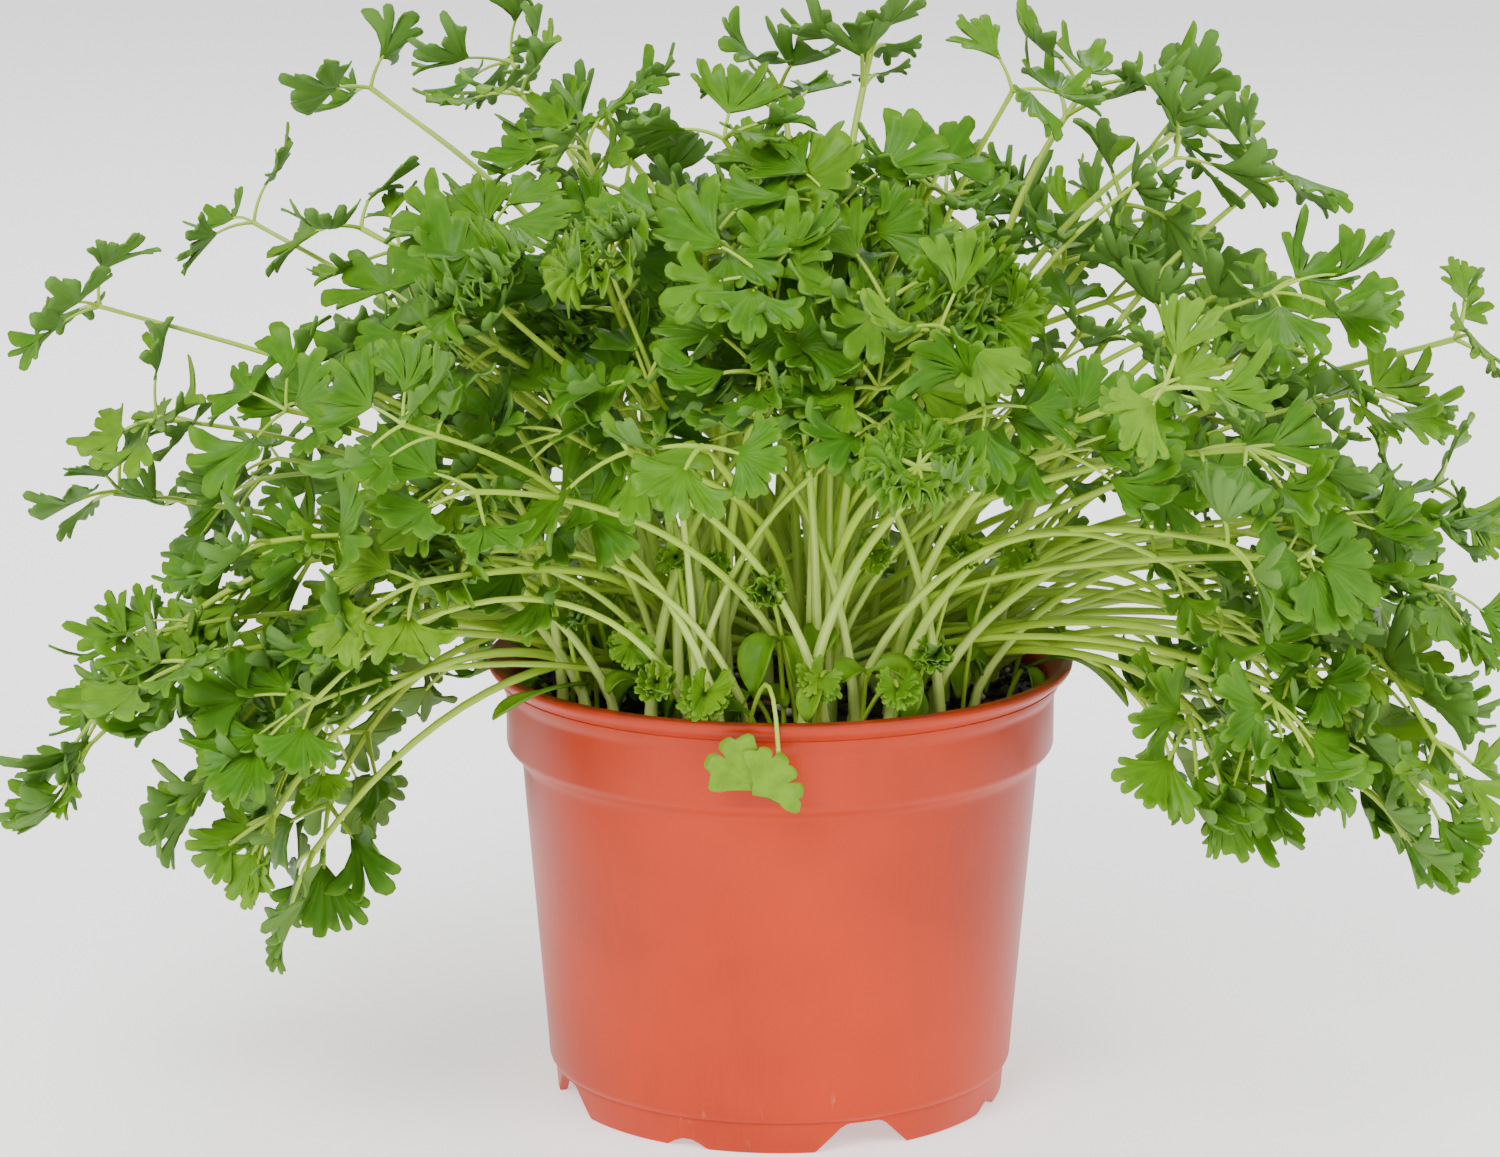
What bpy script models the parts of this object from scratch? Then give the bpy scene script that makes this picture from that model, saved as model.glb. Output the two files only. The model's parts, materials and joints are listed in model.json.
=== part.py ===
"""Potted parsley: a plastic nursery pot, its compost, and the stalks and leaves that grow from it.

Metres, +Z up. The origin is on the pot's axis at the level of its feet, and -Y is the front.
An azimuth is counted from the front (-Y) towards +X.
"""

from math import cos, pi, radians, sin, sqrt

import bmesh
import bpy
from mathutils import Vector

MM = 0.001
GAP = 0.3 * MM  # air between neighbouring pieces

# Pot: turned shell, a band round its top and a flared lip above the band
BAND_RADIUS = 60.0 * MM
BAND_BOTTOM = 79.0 * MM
BAND_TOP = 90.5 * MM
LIP_RADIUS = 64.0 * MM
POT_HEIGHT = 98.5 * MM
BODY_TOP_RADIUS = 56.6 * MM
BODY_BOTTOM_RADIUS = 51.2 * MM
FOOT_HEIGHT = 6.5 * MM
FOOT_RADIUS = 49.8 * MM
FOOT_WALL = 1.8 * MM
WALL = 1.2 * MM
LIP_EDGE = 0.9 * MM  # width of the lip's flat top
POT_SIDES = 60
FLOOR_CORNER = 2.0 * MM  # between the pot's floor and its wall, inside
BAND_SHOULDER = 2.6 * MM  # rounding of the band's upper edge
BODY_CORNER = 2.4 * MM  # rounding of the body's lower edge
STEP_DROP = 4.0 * MM  # the sloping step from the band in to the body
BAND_THROAT = 2.2 * MM  # the wall inside the band, at its top and at its bottom
BAND_FLOOR = 3.0 * MM
FLARE = 2.4 * MM  # how far the lip's underside slopes in at its edge, and how far it drops
FLARE_DROP = 1.8 * MM
FOOT_TAPER = 0.5 * MM

# Foot ring: wide arches and shallow notches between them
ARCH_AZIMUTH = 21.0
ARCH_TOP_WIDTH = 8.6 * MM
ARCH_BOTTOM_WIDTH = 21.6 * MM
NOTCH_AZIMUTH = 66.0
NOTCH_DEPTH = 2.0 * MM
NOTCH_TOP_WIDTH = 3.2 * MM
NOTCH_BOTTOM_WIDTH = 10.0 * MM
FEET = 4
CUTTER_REACH = 8.0 * MM  # each side of the foot ring's radius
CUTTER_BELOW = 3.0 * MM

# Drain holes through the pot's floor
DRAIN_HOLES = 8
DRAIN_RADIUS = 4.0 * MM
DRAIN_CIRCLE = 36.0 * MM

# Compost: fills the pot to just under the lip, with a low mound
SOIL_EDGE_LEVEL = 91.5 * MM
SOIL_MOUND = 2.5 * MM
SOIL_RINGS = 5
SOIL_SIDES = 40

# Stalks and leaves
STALK_BASE_RADIUS = 1.3 * MM
STALK_TIP_RADIUS = 0.8 * MM
STALK_POINTS = 9
BASE_RINGS = (15.0 * MM, 27.0 * MM, 39.0 * MM)  # distances of the stalks' bases from the axis
LEAF_THICKNESS = 0.6 * MM
LEAF_SIDES = 24
LEAF_WAIST = 0.55  # radius of the ring of points inside the edge, as a share of the leaf's radius
LEAF_CUP = 0.45  # how deep a leaf is dished, as a share of its radius
LEAF_FANS = 0.42  # radius between two fans, as a share of the leaf's radius
SCALLOP_DEPTH = 0.07
SCALLOPS = 12

# One row for each sprig: azimuth in degrees, then in millimetres reach from the axis, height,
# lift of the stalk's last stretch over its tip (negative for one that still rises), leaf radius
SPRIGS = (
    # left side
    (-100, 150, 128, 4, 17),
    (-88, 147, 176, -12, 17),
    (-106, 122, 188, -8, 16),
    (-80, 150, 70, 62, 18),
    (-62, 138, 98, 26, 19),
    (-58, 124, 68, 52, 15),
    (-118, 104, 216, -20, 16),
    (-128, 76, 222, -26, 17),
    # front
    (-37, 124, 168, -4, 18),
    (-11, 92, 160, 8, 17),
    (14, 106, 160, -4, 19),
    (36, 128, 176, -8, 18),
    (52, 134, 134, 12, 21),
    (60, 122, 92, 34, 18),
    # right side
    (76, 140, 110, 24, 19),
    (84, 138, 60, 70, 17),
    (93, 148, 166, -4, 15),
    (98, 148, 128, 8, 17),
    (108, 142, 88, 36, 17),
    (120, 106, 208, -22, 17),
    # top
    (70, 52, 224, -40, 15),
    (150, 38, 226, -44, 16),
    # back
    (140, 122, 178, -10, 18),
    (166, 110, 120, 20, 18),
    (192, 104, 160, -4, 19),
    (-142, 134, 140, 10, 18),
)

# The small sprig that bends over the lip at the front
RIM_SPRIG_AZIMUTH = -3.0
RIM_SPRIG_BASE = 50.0 * MM  # from the axis
RIM_LEAF_RADIUS = 11.0 * MM
RIM_LEAF_LEVEL = 87.0 * MM
RIM_LEAF_CUP = 0.12
RIM_LEAF_STANDOFF = 3.0 * MM  # from the lip

# Seed leaves lying over the lip: azimuth, level of the tip, length, width (millimetres)
SEED_LEAVES = (
    (-84, 99, 34, 9),
    (-50, 92, 24, 7),
    (79, 93, 22, 8),
)
SEED_LEAF_ROOT = 10.0 * MM  # inside the lip's radius
SEED_LEAF_CREST = 10.0 * MM  # over the lip

COLOURS = {
    "terracotta_plastic": (0.60, 0.130, 0.060, 1.0),
    "compost": (0.020, 0.013, 0.008, 1.0),
    "stalk_green": (0.35, 0.52, 0.11, 1.0),
    "leaf_green": (0.10, 0.28, 0.030, 1.0),
}
ROUGHNESS = {
    "terracotta_plastic": 0.38,
    "compost": 0.95,
    "stalk_green": 0.45,
    "leaf_green": 0.50,
}


def clear_scene():
    for old in list(bpy.data.objects):
        bpy.data.objects.remove(old, do_unlink=True)


def new_collection(name):
    collection = bpy.data.collections.new(name)
    bpy.context.scene.collection.children.link(collection)
    return collection


def new_material(name):
    material = bpy.data.materials.new(name)
    material.use_nodes = True
    shader = material.node_tree.nodes["Principled BSDF"]
    shader.inputs["Base Color"].default_value = COLOURS[name]
    shader.inputs["Roughness"].default_value = ROUGHNESS[name]
    shader.inputs["Metallic"].default_value = 0.0
    return material


def new_object(name, data, collection, material=None):
    obj = bpy.data.objects.new(name, data)
    collection.objects.link(obj)
    if material is not None:
        data.materials.append(material)
    return obj


def outward(azimuth):
    """The level unit vector that points out from the pot's axis at an azimuth in degrees."""
    angle = radians(azimuth)
    return Vector((sin(angle), -cos(angle), 0.0))


def turned(name, profile, sides, collection, material):
    """A profile of (radius, height) points, from the top down the outside, turned about Z."""
    mesh = bpy.data.meshes.new(name)
    points = [(radius, 0.0, height) for radius, height in profile]
    edges = [(i, i + 1) for i in range(len(points) - 1)]
    mesh.from_pydata(points, edges, [])
    obj = new_object(name, mesh, collection, material)
    screw = obj.modifiers.new("turn", "SCREW")
    screw.steps = sides
    screw.render_steps = sides
    screw.use_merge_vertices = True
    screw.merge_threshold = 0.0001 * MM
    screw.use_smooth_shade = True
    return obj


# ---------------------------------------------------------------- pot and compost


def arc(centre, radius, start, end, steps):
    """Points on an arc of a profile, from one angle to the other in degrees."""
    points = []
    for i in range(steps + 1):
        angle = radians(start + (end - start) * i / steps)
        points.append((centre[0] + radius * cos(angle), centre[1] + radius * sin(angle)))
    return points


def pot_inside():
    """From the middle of the floor's upper face, out and up the wall to the lip's inner edge."""
    floor_top = FOOT_HEIGHT + WALL
    throat = BAND_RADIUS - BAND_THROAT
    lip_inner = LIP_RADIUS - LIP_EDGE
    return [
        (0.0, floor_top),
        (BODY_BOTTOM_RADIUS - WALL - 0.75 * FLOOR_CORNER, floor_top),
        (BODY_BOTTOM_RADIUS - WALL, floor_top + FLOOR_CORNER),
        (BODY_TOP_RADIUS - WALL, BAND_BOTTOM - 0.9 * STEP_DROP),
        (BAND_RADIUS - BAND_FLOOR, BAND_BOTTOM - 0.25 * STEP_DROP),
        (throat, BAND_TOP + 3.0 * MM),
        (lip_inner - 2.2 * MM, POT_HEIGHT - 1.4 * MM),
        (lip_inner, POT_HEIGHT),
    ]


def pot_outside():
    """From the lip's outer edge, over the band's shoulder and down the body to the feet."""
    chamfer = BAND_RADIUS - BODY_TOP_RADIUS
    lip = [
        (LIP_RADIUS, POT_HEIGHT),
        (LIP_RADIUS - FLARE, POT_HEIGHT - FLARE_DROP),
        (BAND_RADIUS - 0.5 * BAND_SHOULDER, BAND_TOP + 3.4 * MM),
    ]
    band = arc((BAND_RADIUS - BAND_SHOULDER, BAND_TOP), BAND_SHOULDER, 55, 0, 3)
    step = [
        (BAND_RADIUS - 0.5 * MM, BAND_BOTTOM),
        (BAND_RADIUS - 0.45 * chamfer, BAND_BOTTOM - 0.65 * STEP_DROP),
        (BODY_TOP_RADIUS, BAND_BOTTOM - STEP_DROP),
    ]
    body_corner = (BODY_BOTTOM_RADIUS - BODY_CORNER, FOOT_HEIGHT + BODY_CORNER)
    bottom = arc(body_corner, BODY_CORNER, 0, -65, 3)
    foot = [(FOOT_RADIUS, FOOT_HEIGHT - GAP), (FOOT_RADIUS - FOOT_TAPER, 0.0)]
    return lip + band + step + bottom + foot


def pot_underside():
    """From the inner edge of the feet to the middle of the floor's lower face."""
    foot_inner = FOOT_RADIUS - FOOT_TAPER - FOOT_WALL
    return [(foot_inner, 0.0), (foot_inner, FOOT_HEIGHT), (0.0, FOOT_HEIGHT)]


def trapezoid_cutter(name, azimuth, top_width, bottom_width, height, collection):
    """A wedge across the foot ring, wider at the ground, that cuts up to a height."""
    start = FOOT_RADIUS - CUTTER_REACH
    end = FOOT_RADIUS + CUTTER_REACH
    slope = (bottom_width - top_width) / height
    ground_width = bottom_width + slope * CUTTER_BELOW
    bm = bmesh.new()
    bmesh.ops.create_cube(bm, size=1.0)
    for vert in bm.verts:
        at_top = vert.co.z > 0
        width = top_width if at_top else ground_width
        vert.co = (
            end if vert.co.x > 0 else start,
            width / 2 if vert.co.y > 0 else -width / 2,
            height if at_top else -CUTTER_BELOW,
        )
    mesh = bpy.data.meshes.new(name)
    bm.to_mesh(mesh)
    bm.free()
    obj = new_object(name, mesh, collection)
    obj.rotation_euler.z = radians(azimuth - 90.0)
    return as_cutter(obj)


def hole_cutter(name, azimuth, collection):
    bm = bmesh.new()
    bmesh.ops.create_cone(
        bm,
        cap_ends=True,
        segments=12,
        radius1=DRAIN_RADIUS,
        radius2=DRAIN_RADIUS,
        depth=4 * WALL,
    )
    mesh = bpy.data.meshes.new(name)
    bm.to_mesh(mesh)
    bm.free()
    obj = new_object(name, mesh, collection)
    level = FOOT_HEIGHT + WALL / 2
    obj.location = outward(azimuth) * DRAIN_CIRCLE + Vector((0.0, 0.0, level))
    return as_cutter(obj)


def as_cutter(obj):
    obj.hide_render = True
    obj.display_type = "WIRE"
    return obj


def cut(obj, cutter):
    boolean = obj.modifiers.new(cutter.name, "BOOLEAN")
    boolean.operation = "DIFFERENCE"
    boolean.solver = "EXACT"
    boolean.object = cutter


def build_pot(collection, cutters, material):
    profile = pot_inside() + pot_outside() + pot_underside()
    pot = turned("pot", profile, POT_SIDES, collection, material)
    for i in range(FEET):
        turn = 360.0 * i / FEET
        arch = trapezoid_cutter(
            f"arch_{i + 1}",
            ARCH_AZIMUTH + turn,
            ARCH_TOP_WIDTH,
            ARCH_BOTTOM_WIDTH,
            FOOT_HEIGHT - 0.1 * MM,
            cutters,
        )
        cut(pot, arch)
        notch = trapezoid_cutter(
            f"notch_{i + 1}",
            NOTCH_AZIMUTH + turn,
            NOTCH_TOP_WIDTH,
            NOTCH_BOTTOM_WIDTH,
            NOTCH_DEPTH,
            cutters,
        )
        cut(pot, notch)
    for i in range(DRAIN_HOLES):
        azimuth = ARCH_AZIMUTH + 360.0 * i / DRAIN_HOLES
        cut(pot, hole_cutter(f"drain_{i + 1}", azimuth, cutters))
    return pot


def soil_radius():
    return BAND_RADIUS - BAND_THROAT - GAP - 0.1 * MM


def soil_level(radius):
    """Height of the compost's surface at a distance from the axis."""
    share = min(1.0, radius / soil_radius())
    return SOIL_EDGE_LEVEL + SOIL_MOUND * (1.0 - share * share)


def build_soil(collection, material):
    top = []
    for i in range(SOIL_RINGS + 1):
        radius = soil_radius() * i / SOIL_RINGS
        top.append((radius, soil_level(radius)))
    floor_level = FOOT_HEIGHT + WALL + GAP
    side = [
        (BAND_RADIUS - BAND_FLOOR - GAP, BAND_BOTTOM - 0.2 * STEP_DROP),
        (BODY_TOP_RADIUS - WALL - GAP, BAND_BOTTOM - 0.975 * STEP_DROP),
        (BODY_BOTTOM_RADIUS - WALL - GAP, floor_level + 2.1 * MM),
        (BODY_BOTTOM_RADIUS - WALL - 1.6 * MM - GAP, floor_level),
        (0.0, floor_level),
    ]
    return turned("soil", top + side, SOIL_SIDES, collection, material)


# ---------------------------------------------------------------- stalks and leaves


def bezier(points, share):
    """A point on the cubic curve of four control points."""
    rest = 1.0 - share
    weights = (rest**3, 3 * rest**2 * share, 3 * rest * share**2, share**3)
    return sum((w * p for w, p in zip(weights, points)), Vector((0.0, 0.0, 0.0)))


def stalk_route(azimuth, reach, height, lift, base):
    """Control points of a stalk: up out of the compost, then over to its tip."""
    out = outward(azimuth)
    up = Vector((0.0, 0.0, 1.0))
    start = soil_level(base) + GAP + 0.7 * STALK_BASE_RADIUS  # clear of a leaning end
    span = reach - base
    crest = max(height, height + lift)
    return (
        out * base + up * start,
        out * (base + 0.16 * span) + up * (start + 0.72 * (crest - start)),
        out * (base + 0.68 * span) + up * (height + lift),
        out * reach + up * height,
    )


def build_stalk(name, route, collection, material):
    """A round tube along the route, thinner towards its tip."""
    curve = bpy.data.curves.new(name, "CURVE")
    curve.dimensions = "3D"
    curve.bevel_depth = STALK_BASE_RADIUS
    curve.bevel_resolution = 2
    curve.use_fill_caps = True
    spline = curve.splines.new("POLY")
    spline.points.add(STALK_POINTS - 1)
    thinning = 1.0 - STALK_TIP_RADIUS / STALK_BASE_RADIUS
    for i, point in enumerate(spline.points):
        share = i / (STALK_POINTS - 1)
        point.co = (*bezier(route, share), 1.0)
        point.radius = 1.0 - thinning * share
    spline.use_smooth = True
    return new_object(name, curve, collection, material)


def leaf_outline(angle):
    """Radius of the leaf at an angle: three fans, each with a scalloped edge."""
    fans = LEAF_FANS + (1.0 - LEAF_FANS) * sqrt(abs(cos(1.5 * angle)))
    scallops = 1.0 + SCALLOP_DEPTH * cos(SCALLOPS * angle)
    return fans * scallops / (1.0 + SCALLOP_DEPTH)


def build_leaf(name, centre, axis, radius, cup, collection, material):
    """A thin dish of three fans round its axis, cupped by a share of its radius."""
    bm = bmesh.new()
    bmesh.ops.create_circle(
        bm, cap_ends=True, cap_tris=True, segments=LEAF_SIDES, radius=LEAF_WAIST
    )
    bmesh.ops.create_circle(bm, segments=LEAF_SIDES, radius=1.0)
    loops = [edge for edge in bm.edges if len(edge.link_faces) < 2]
    bmesh.ops.bridge_loops(bm, edges=loops)
    for vert in bm.verts:
        share = Vector(vert.co.xy).length
        angle = Vector((1.0, 0.0)).angle_signed(vert.co.xy, 0.0) if share else 0.0
        at_edge = share > 0.5 * (1.0 + LEAF_WAIST)
        outline = leaf_outline(angle)
        spread = radius * (outline if at_edge else 0.5 + 0.5 * outline)
        rise = cup * radius * share**2 * (1.0 + 0.25 * cos(6.0 * angle))
        vert.co = (vert.co.x * spread, vert.co.y * spread, rise)
    bmesh.ops.recalc_face_normals(bm, faces=bm.faces)
    mesh = bpy.data.meshes.new(name)
    bm.to_mesh(mesh)
    bm.free()
    obj = new_object(name, mesh, collection, material)
    obj.location = centre
    obj.rotation_mode = "QUATERNION"
    obj.rotation_quaternion = axis.to_track_quat("Z", "Y")
    thicken(obj)
    return obj


def thicken(obj):
    solidify = obj.modifiers.new("thickness", "SOLIDIFY")
    solidify.thickness = LEAF_THICKNESS
    solidify.offset = 0.0


def build_sprig(number, row, base, collection, stalk_material, leaf_material):
    azimuth, reach, height, lift, leaf_radius = row
    route = stalk_route(azimuth, reach * MM, height * MM, lift * MM, base)
    build_stalk(f"stalk_{number:02d}", route, collection, stalk_material)
    tip_way = (route[3] - route[2]).normalized()
    axis = (tip_way + Vector((0.0, 0.0, 0.9))).normalized()
    clearance = GAP + LEAF_THICKNESS / 2 + STALK_TIP_RADIUS
    centre = route[3] + axis * clearance
    build_leaf(
        f"leaf_{number:02d}",
        centre,
        axis,
        leaf_radius * MM,
        LEAF_CUP,
        collection,
        leaf_material,
    )


def build_rim_sprig(collection, stalk_material, leaf_material):
    """The small sprig that bends over the lip and hangs down in front of the band."""
    out = outward(RIM_SPRIG_AZIMUTH)
    up = Vector((0.0, 0.0, 1.0))
    base = RIM_SPRIG_BASE
    hang = LIP_RADIUS + RIM_LEAF_STANDOFF
    top = RIM_LEAF_LEVEL + RIM_LEAF_RADIUS + 4 * GAP
    route = (
        out * base + up * (soil_level(base) + 2 * GAP),
        out * (base + 1.0 * MM) + up * (POT_HEIGHT + 12.0 * MM),
        out * hang + up * (POT_HEIGHT + 9.0 * MM),
        out * hang + up * top,
    )
    build_stalk("rim_stalk", route, collection, stalk_material)
    centre = out * hang + up * RIM_LEAF_LEVEL
    build_leaf(
        "rim_leaf", centre, out, RIM_LEAF_RADIUS, RIM_LEAF_CUP, collection, leaf_material
    )


def build_seed_leaf(name, azimuth, tip_level, length, width, collection, material):
    """A long oval blade that rises from the compost and lies over the lip."""
    out = outward(azimuth)
    side = out.cross(Vector((0.0, 0.0, 1.0)))
    root_radius = LIP_RADIUS - SEED_LEAF_ROOT
    root = out * root_radius + Vector((0.0, 0.0, SOIL_EDGE_LEVEL + 1.6 * MM))
    tip = out * (root_radius + length) + Vector((0.0, 0.0, tip_level))
    crest = out * (LIP_RADIUS - 1.0 * MM) + Vector((0.0, 0.0, POT_HEIGHT + SEED_LEAF_CREST))
    route = (root, crest, crest * 0.3 + tip * 0.7 + Vector((0.0, 0.0, 6.0 * MM)), tip)
    bm = bmesh.new()
    bmesh.ops.create_grid(bm, x_segments=10, y_segments=2, size=0.5)
    for vert in bm.verts:
        share = vert.co.x + 0.5
        half = width / 2 * max(0.14, sin(pi * share**1.4) ** 0.8)
        across = 2.0 * vert.co.y
        fold = Vector((0.0, 0.0, 0.3 * half * across * across))
        vert.co = bezier(route, share) + side * (across * half) + fold
    bmesh.ops.recalc_face_normals(bm, faces=bm.faces)
    mesh = bpy.data.meshes.new(name)
    bm.to_mesh(mesh)
    bm.free()
    thicken(new_object(name, mesh, collection, material))


def main():
    clear_scene()
    parts = new_collection("potted_parsley")
    cutters = new_collection("cutters")
    plastic = new_material("terracotta_plastic")
    compost = new_material("compost")
    stalk_green = new_material("stalk_green")
    leaf_green = new_material("leaf_green")
    build_pot(parts, cutters, plastic)
    build_soil(parts, compost)
    for i, row in enumerate(SPRIGS):
        ring = BASE_RINGS[i % len(BASE_RINGS)]
        base = min(ring, 0.4 * row[1] * MM)
        build_sprig(i + 1, row, base, parts, stalk_green, leaf_green)
    build_rim_sprig(parts, stalk_green, leaf_green)
    for i, (azimuth, level, length, width) in enumerate(SEED_LEAVES):
        build_seed_leaf(
            f"seed_leaf_{i + 1}",
            azimuth,
            level * MM,
            length * MM,
            width * MM,
            parts,
            leaf_green,
        )


main()
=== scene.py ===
"""Potted parsley, finished: the moulded pot, its compost, and the stalks and cut leaves.

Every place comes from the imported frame. An azimuth is counted from the front (-Y) towards +X.
The leaves are a half-curled parsley: each stalk forks at a node into short branches, and each
branch ends in a fan-shaped leaflet with rounded teeth.
"""

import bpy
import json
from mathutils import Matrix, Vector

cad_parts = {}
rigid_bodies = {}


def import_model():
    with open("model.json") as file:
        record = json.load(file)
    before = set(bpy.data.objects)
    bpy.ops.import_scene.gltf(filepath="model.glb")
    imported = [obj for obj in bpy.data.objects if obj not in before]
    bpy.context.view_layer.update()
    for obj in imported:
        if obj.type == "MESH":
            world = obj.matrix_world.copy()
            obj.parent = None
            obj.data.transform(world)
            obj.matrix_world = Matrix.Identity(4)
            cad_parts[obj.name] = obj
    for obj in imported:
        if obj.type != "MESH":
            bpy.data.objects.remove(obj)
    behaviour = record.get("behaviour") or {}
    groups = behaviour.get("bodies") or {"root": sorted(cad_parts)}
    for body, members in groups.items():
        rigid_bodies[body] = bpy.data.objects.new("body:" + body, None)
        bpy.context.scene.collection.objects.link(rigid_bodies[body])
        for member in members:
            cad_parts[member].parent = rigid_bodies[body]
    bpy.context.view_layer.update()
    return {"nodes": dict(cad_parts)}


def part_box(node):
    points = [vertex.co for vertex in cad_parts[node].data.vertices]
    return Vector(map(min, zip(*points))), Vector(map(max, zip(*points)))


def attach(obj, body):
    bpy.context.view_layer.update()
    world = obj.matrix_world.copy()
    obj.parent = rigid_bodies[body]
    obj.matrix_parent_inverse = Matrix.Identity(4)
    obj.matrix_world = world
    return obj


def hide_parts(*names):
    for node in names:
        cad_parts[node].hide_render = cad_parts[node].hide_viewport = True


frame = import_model()

import json
import random
from math import atan2, cos, degrees, pi, radians, sin, sqrt

import bmesh
import bpy
from mathutils import Matrix, Vector, noise

bl_info = {
    "name": "Potted Parsley",
    "version": (1, 0, 0),
    "blender": (4, 5, 0),
    "location": "View3D > Sidebar > Parsley",
    "description": "Builds the finished pot, compost, stalks and leaves of a potted parsley",
    "category": "Object",
}

MM = 0.001
BODY = "root"

POT_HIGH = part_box("pot")[1]
SOIL_LOW, SOIL_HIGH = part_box("soil")
RIM = POT_HIGH.x  # the lip's radius, the pot's widest
POT_TOP = POT_HIGH.z
SOIL_RADIUS = SOIL_HIGH.x
SOIL_TOP = SOIL_HIGH.z
SOIL_MOUND = 2.5 * MM  # the compost's middle stands this much over its edge

STALK_NODES = sorted(n for n in frame["nodes"] if n.startswith("stalk_"))
LEAF_NODES = sorted(n for n in frame["nodes"] if n.startswith("leaf_"))
SEED_LEAF_NODES = sorted(n for n in frame["nodes"] if n.startswith("seed_leaf_"))


# ---------------------------------------------------------------- settings


def hex_to_rgb(code):
    """An sRGB hex colour as the linear numbers that a colour property or a shader takes."""
    channels = []
    for i in (1, 3, 5):
        value = int(code[i : i + 2], 16) / 255.0
        linear = value / 12.92 if value <= 0.04045 else ((value + 0.055) / 1.055) ** 2.4
        channels.append(linear)
    return tuple(channels)


def length_setting(name, description, default):
    return bpy.props.FloatProperty(
        name=name, description=description, default=default, min=0.0, unit="LENGTH"
    )


def colour_setting(name, description, code):
    return bpy.props.FloatVectorProperty(
        name=name,
        description=description,
        default=hex_to_rgb(code),
        min=0.0,
        max=1.0,
        subtype="COLOR",
    )


class ParsleyPotSettings(bpy.types.PropertyGroup):
    wall: length_setting("Wall", "Thickness of the moulded wall", 1.2 * MM)
    band_inset: length_setting("Band inset", "How far the band lies inside the lip", 4.0 * MM)
    colour: colour_setting("Plastic", "Main colour of the plastic", "#B22F05")
    bloom: colour_setting("Bloom", "Pale bloom where the plastic has rubbed", "#D98F78")
    # Colour of the dark specks and of the lip's top edge, which is partly compost stains and
    # partly painted shade
    stain_and_shade: colour_setting("Stain", "Compost stain along the lip", "#4A2414")


class ParsleyCompostSettings(bpy.types.PropertyGroup):
    crumbs: bpy.props.IntProperty(
        name="Crumbs", description="Dark crumbs on the compost", default=1300, min=0
    )
    perlite: bpy.props.IntProperty(
        name="Perlite", description="Cream grains of perlite", default=90, min=0
    )
    bark: bpy.props.IntProperty(name="Bark", description="Bits of bark", default=70, min=0)
    colour: colour_setting("Compost", "Damp peat compost", "#33241A")
    perlite_colour: colour_setting("Perlite colour", "Expanded perlite", "#D9CFB8")
    bark_colour: colour_setting("Bark colour", "Composted bark", "#8A5630")


class ParsleyPlantSettings(bpy.types.PropertyGroup):
    seed: bpy.props.IntProperty(
        name="Seed", description="Changes how the plant has grown", default=11, min=0
    )
    fill_sprigs: bpy.props.IntProperty(
        name="Inner sprigs", description="Sprigs that fill the crown", default=196, min=0
    )
    leaflet_size: bpy.props.FloatProperty(
        name="Leaflet size", description="Scale of every leaflet", default=1.0, min=0.1
    )
    stalk_thickness: length_setting("Stalk", "Radius of a stalk at its base", 1.1 * MM)
    leaf_colour: colour_setting("Leaf", "Upper side of a grown leaf", "#528716")
    leaf_dark: colour_setting("Dark leaf", "Upper side of the darkest leaf", "#3A7014")
    leaf_young: colour_setting("Young leaf", "Upper side of the palest leaf", "#82AE22")
    leaf_under: colour_setting("Underside", "Underside of a leaf", "#658C40")
    stalk_colour: colour_setting("Stalk colour", "Stalk along its length", "#AACD3C")
    stalk_pale: colour_setting("Stalk base", "Stalk near the compost", "#D3E585")


class ParsleyStageSettings(bpy.types.PropertyGroup):
    floor_colour: colour_setting("Floor", "Floor and background", "#F4F3F1")
    key_power: bpy.props.FloatProperty(
        name="Key light", description="Power of the main soft light", default=26.0, unit="POWER"
    )
    fill_power: bpy.props.FloatProperty(
        name="Fill light", description="Power of the side light", default=12.0, unit="POWER"
    )
    focal_length: bpy.props.FloatProperty(
        name="Lens", description="Camera's focal length", default=118.0, subtype="DISTANCE_CAMERA"
    )


# ---------------------------------------------------------------- helpers


def outward(azimuth):
    """The level unit vector that points out from the pot's axis at an azimuth in radians."""
    return Vector((sin(azimuth), -cos(azimuth), 0.0))


def add_node(tree, kind, inputs=None, stops=(), **settings):
    """Add a node: inputs are its values or what they come from, stops a ramp's colours."""
    made = tree.nodes.new(kind)
    for key, value in settings.items():
        setattr(made, key, value)
    feed(made, inputs or {})
    for _ in stops[2:]:
        made.color_ramp.elements.new(0.5)
    for i, (position, colour) in enumerate(stops):
        made.color_ramp.elements[i].position = position
        made.color_ramp.elements[i].color = colour
    return made


def feed(node, inputs):
    """Set a node's inputs to values, or link them to the nodes or sockets they come from."""
    for key, value in inputs.items():
        if isinstance(value, bpy.types.Node):
            value = value.outputs[0]
        if isinstance(value, bpy.types.NodeSocket):
            node.id_data.links.new(value, node.inputs[key])
        else:
            node.inputs[key].default_value = value


def new_tree(name, inputs):
    """An empty geometry tree whose named inputs are (name, socket type, default) rows."""
    tree = bpy.data.node_groups.new(name, "GeometryNodeTree")
    for label, kind, default in inputs:
        socket = tree.interface.new_socket(label, in_out="INPUT", socket_type=kind)
        if default is not None:
            socket.default_value = default
    tree.interface.new_socket("Geometry", in_out="OUTPUT", socket_type="NodeSocketGeometry")
    return tree, tree.nodes.new("NodeGroupInput")


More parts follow.
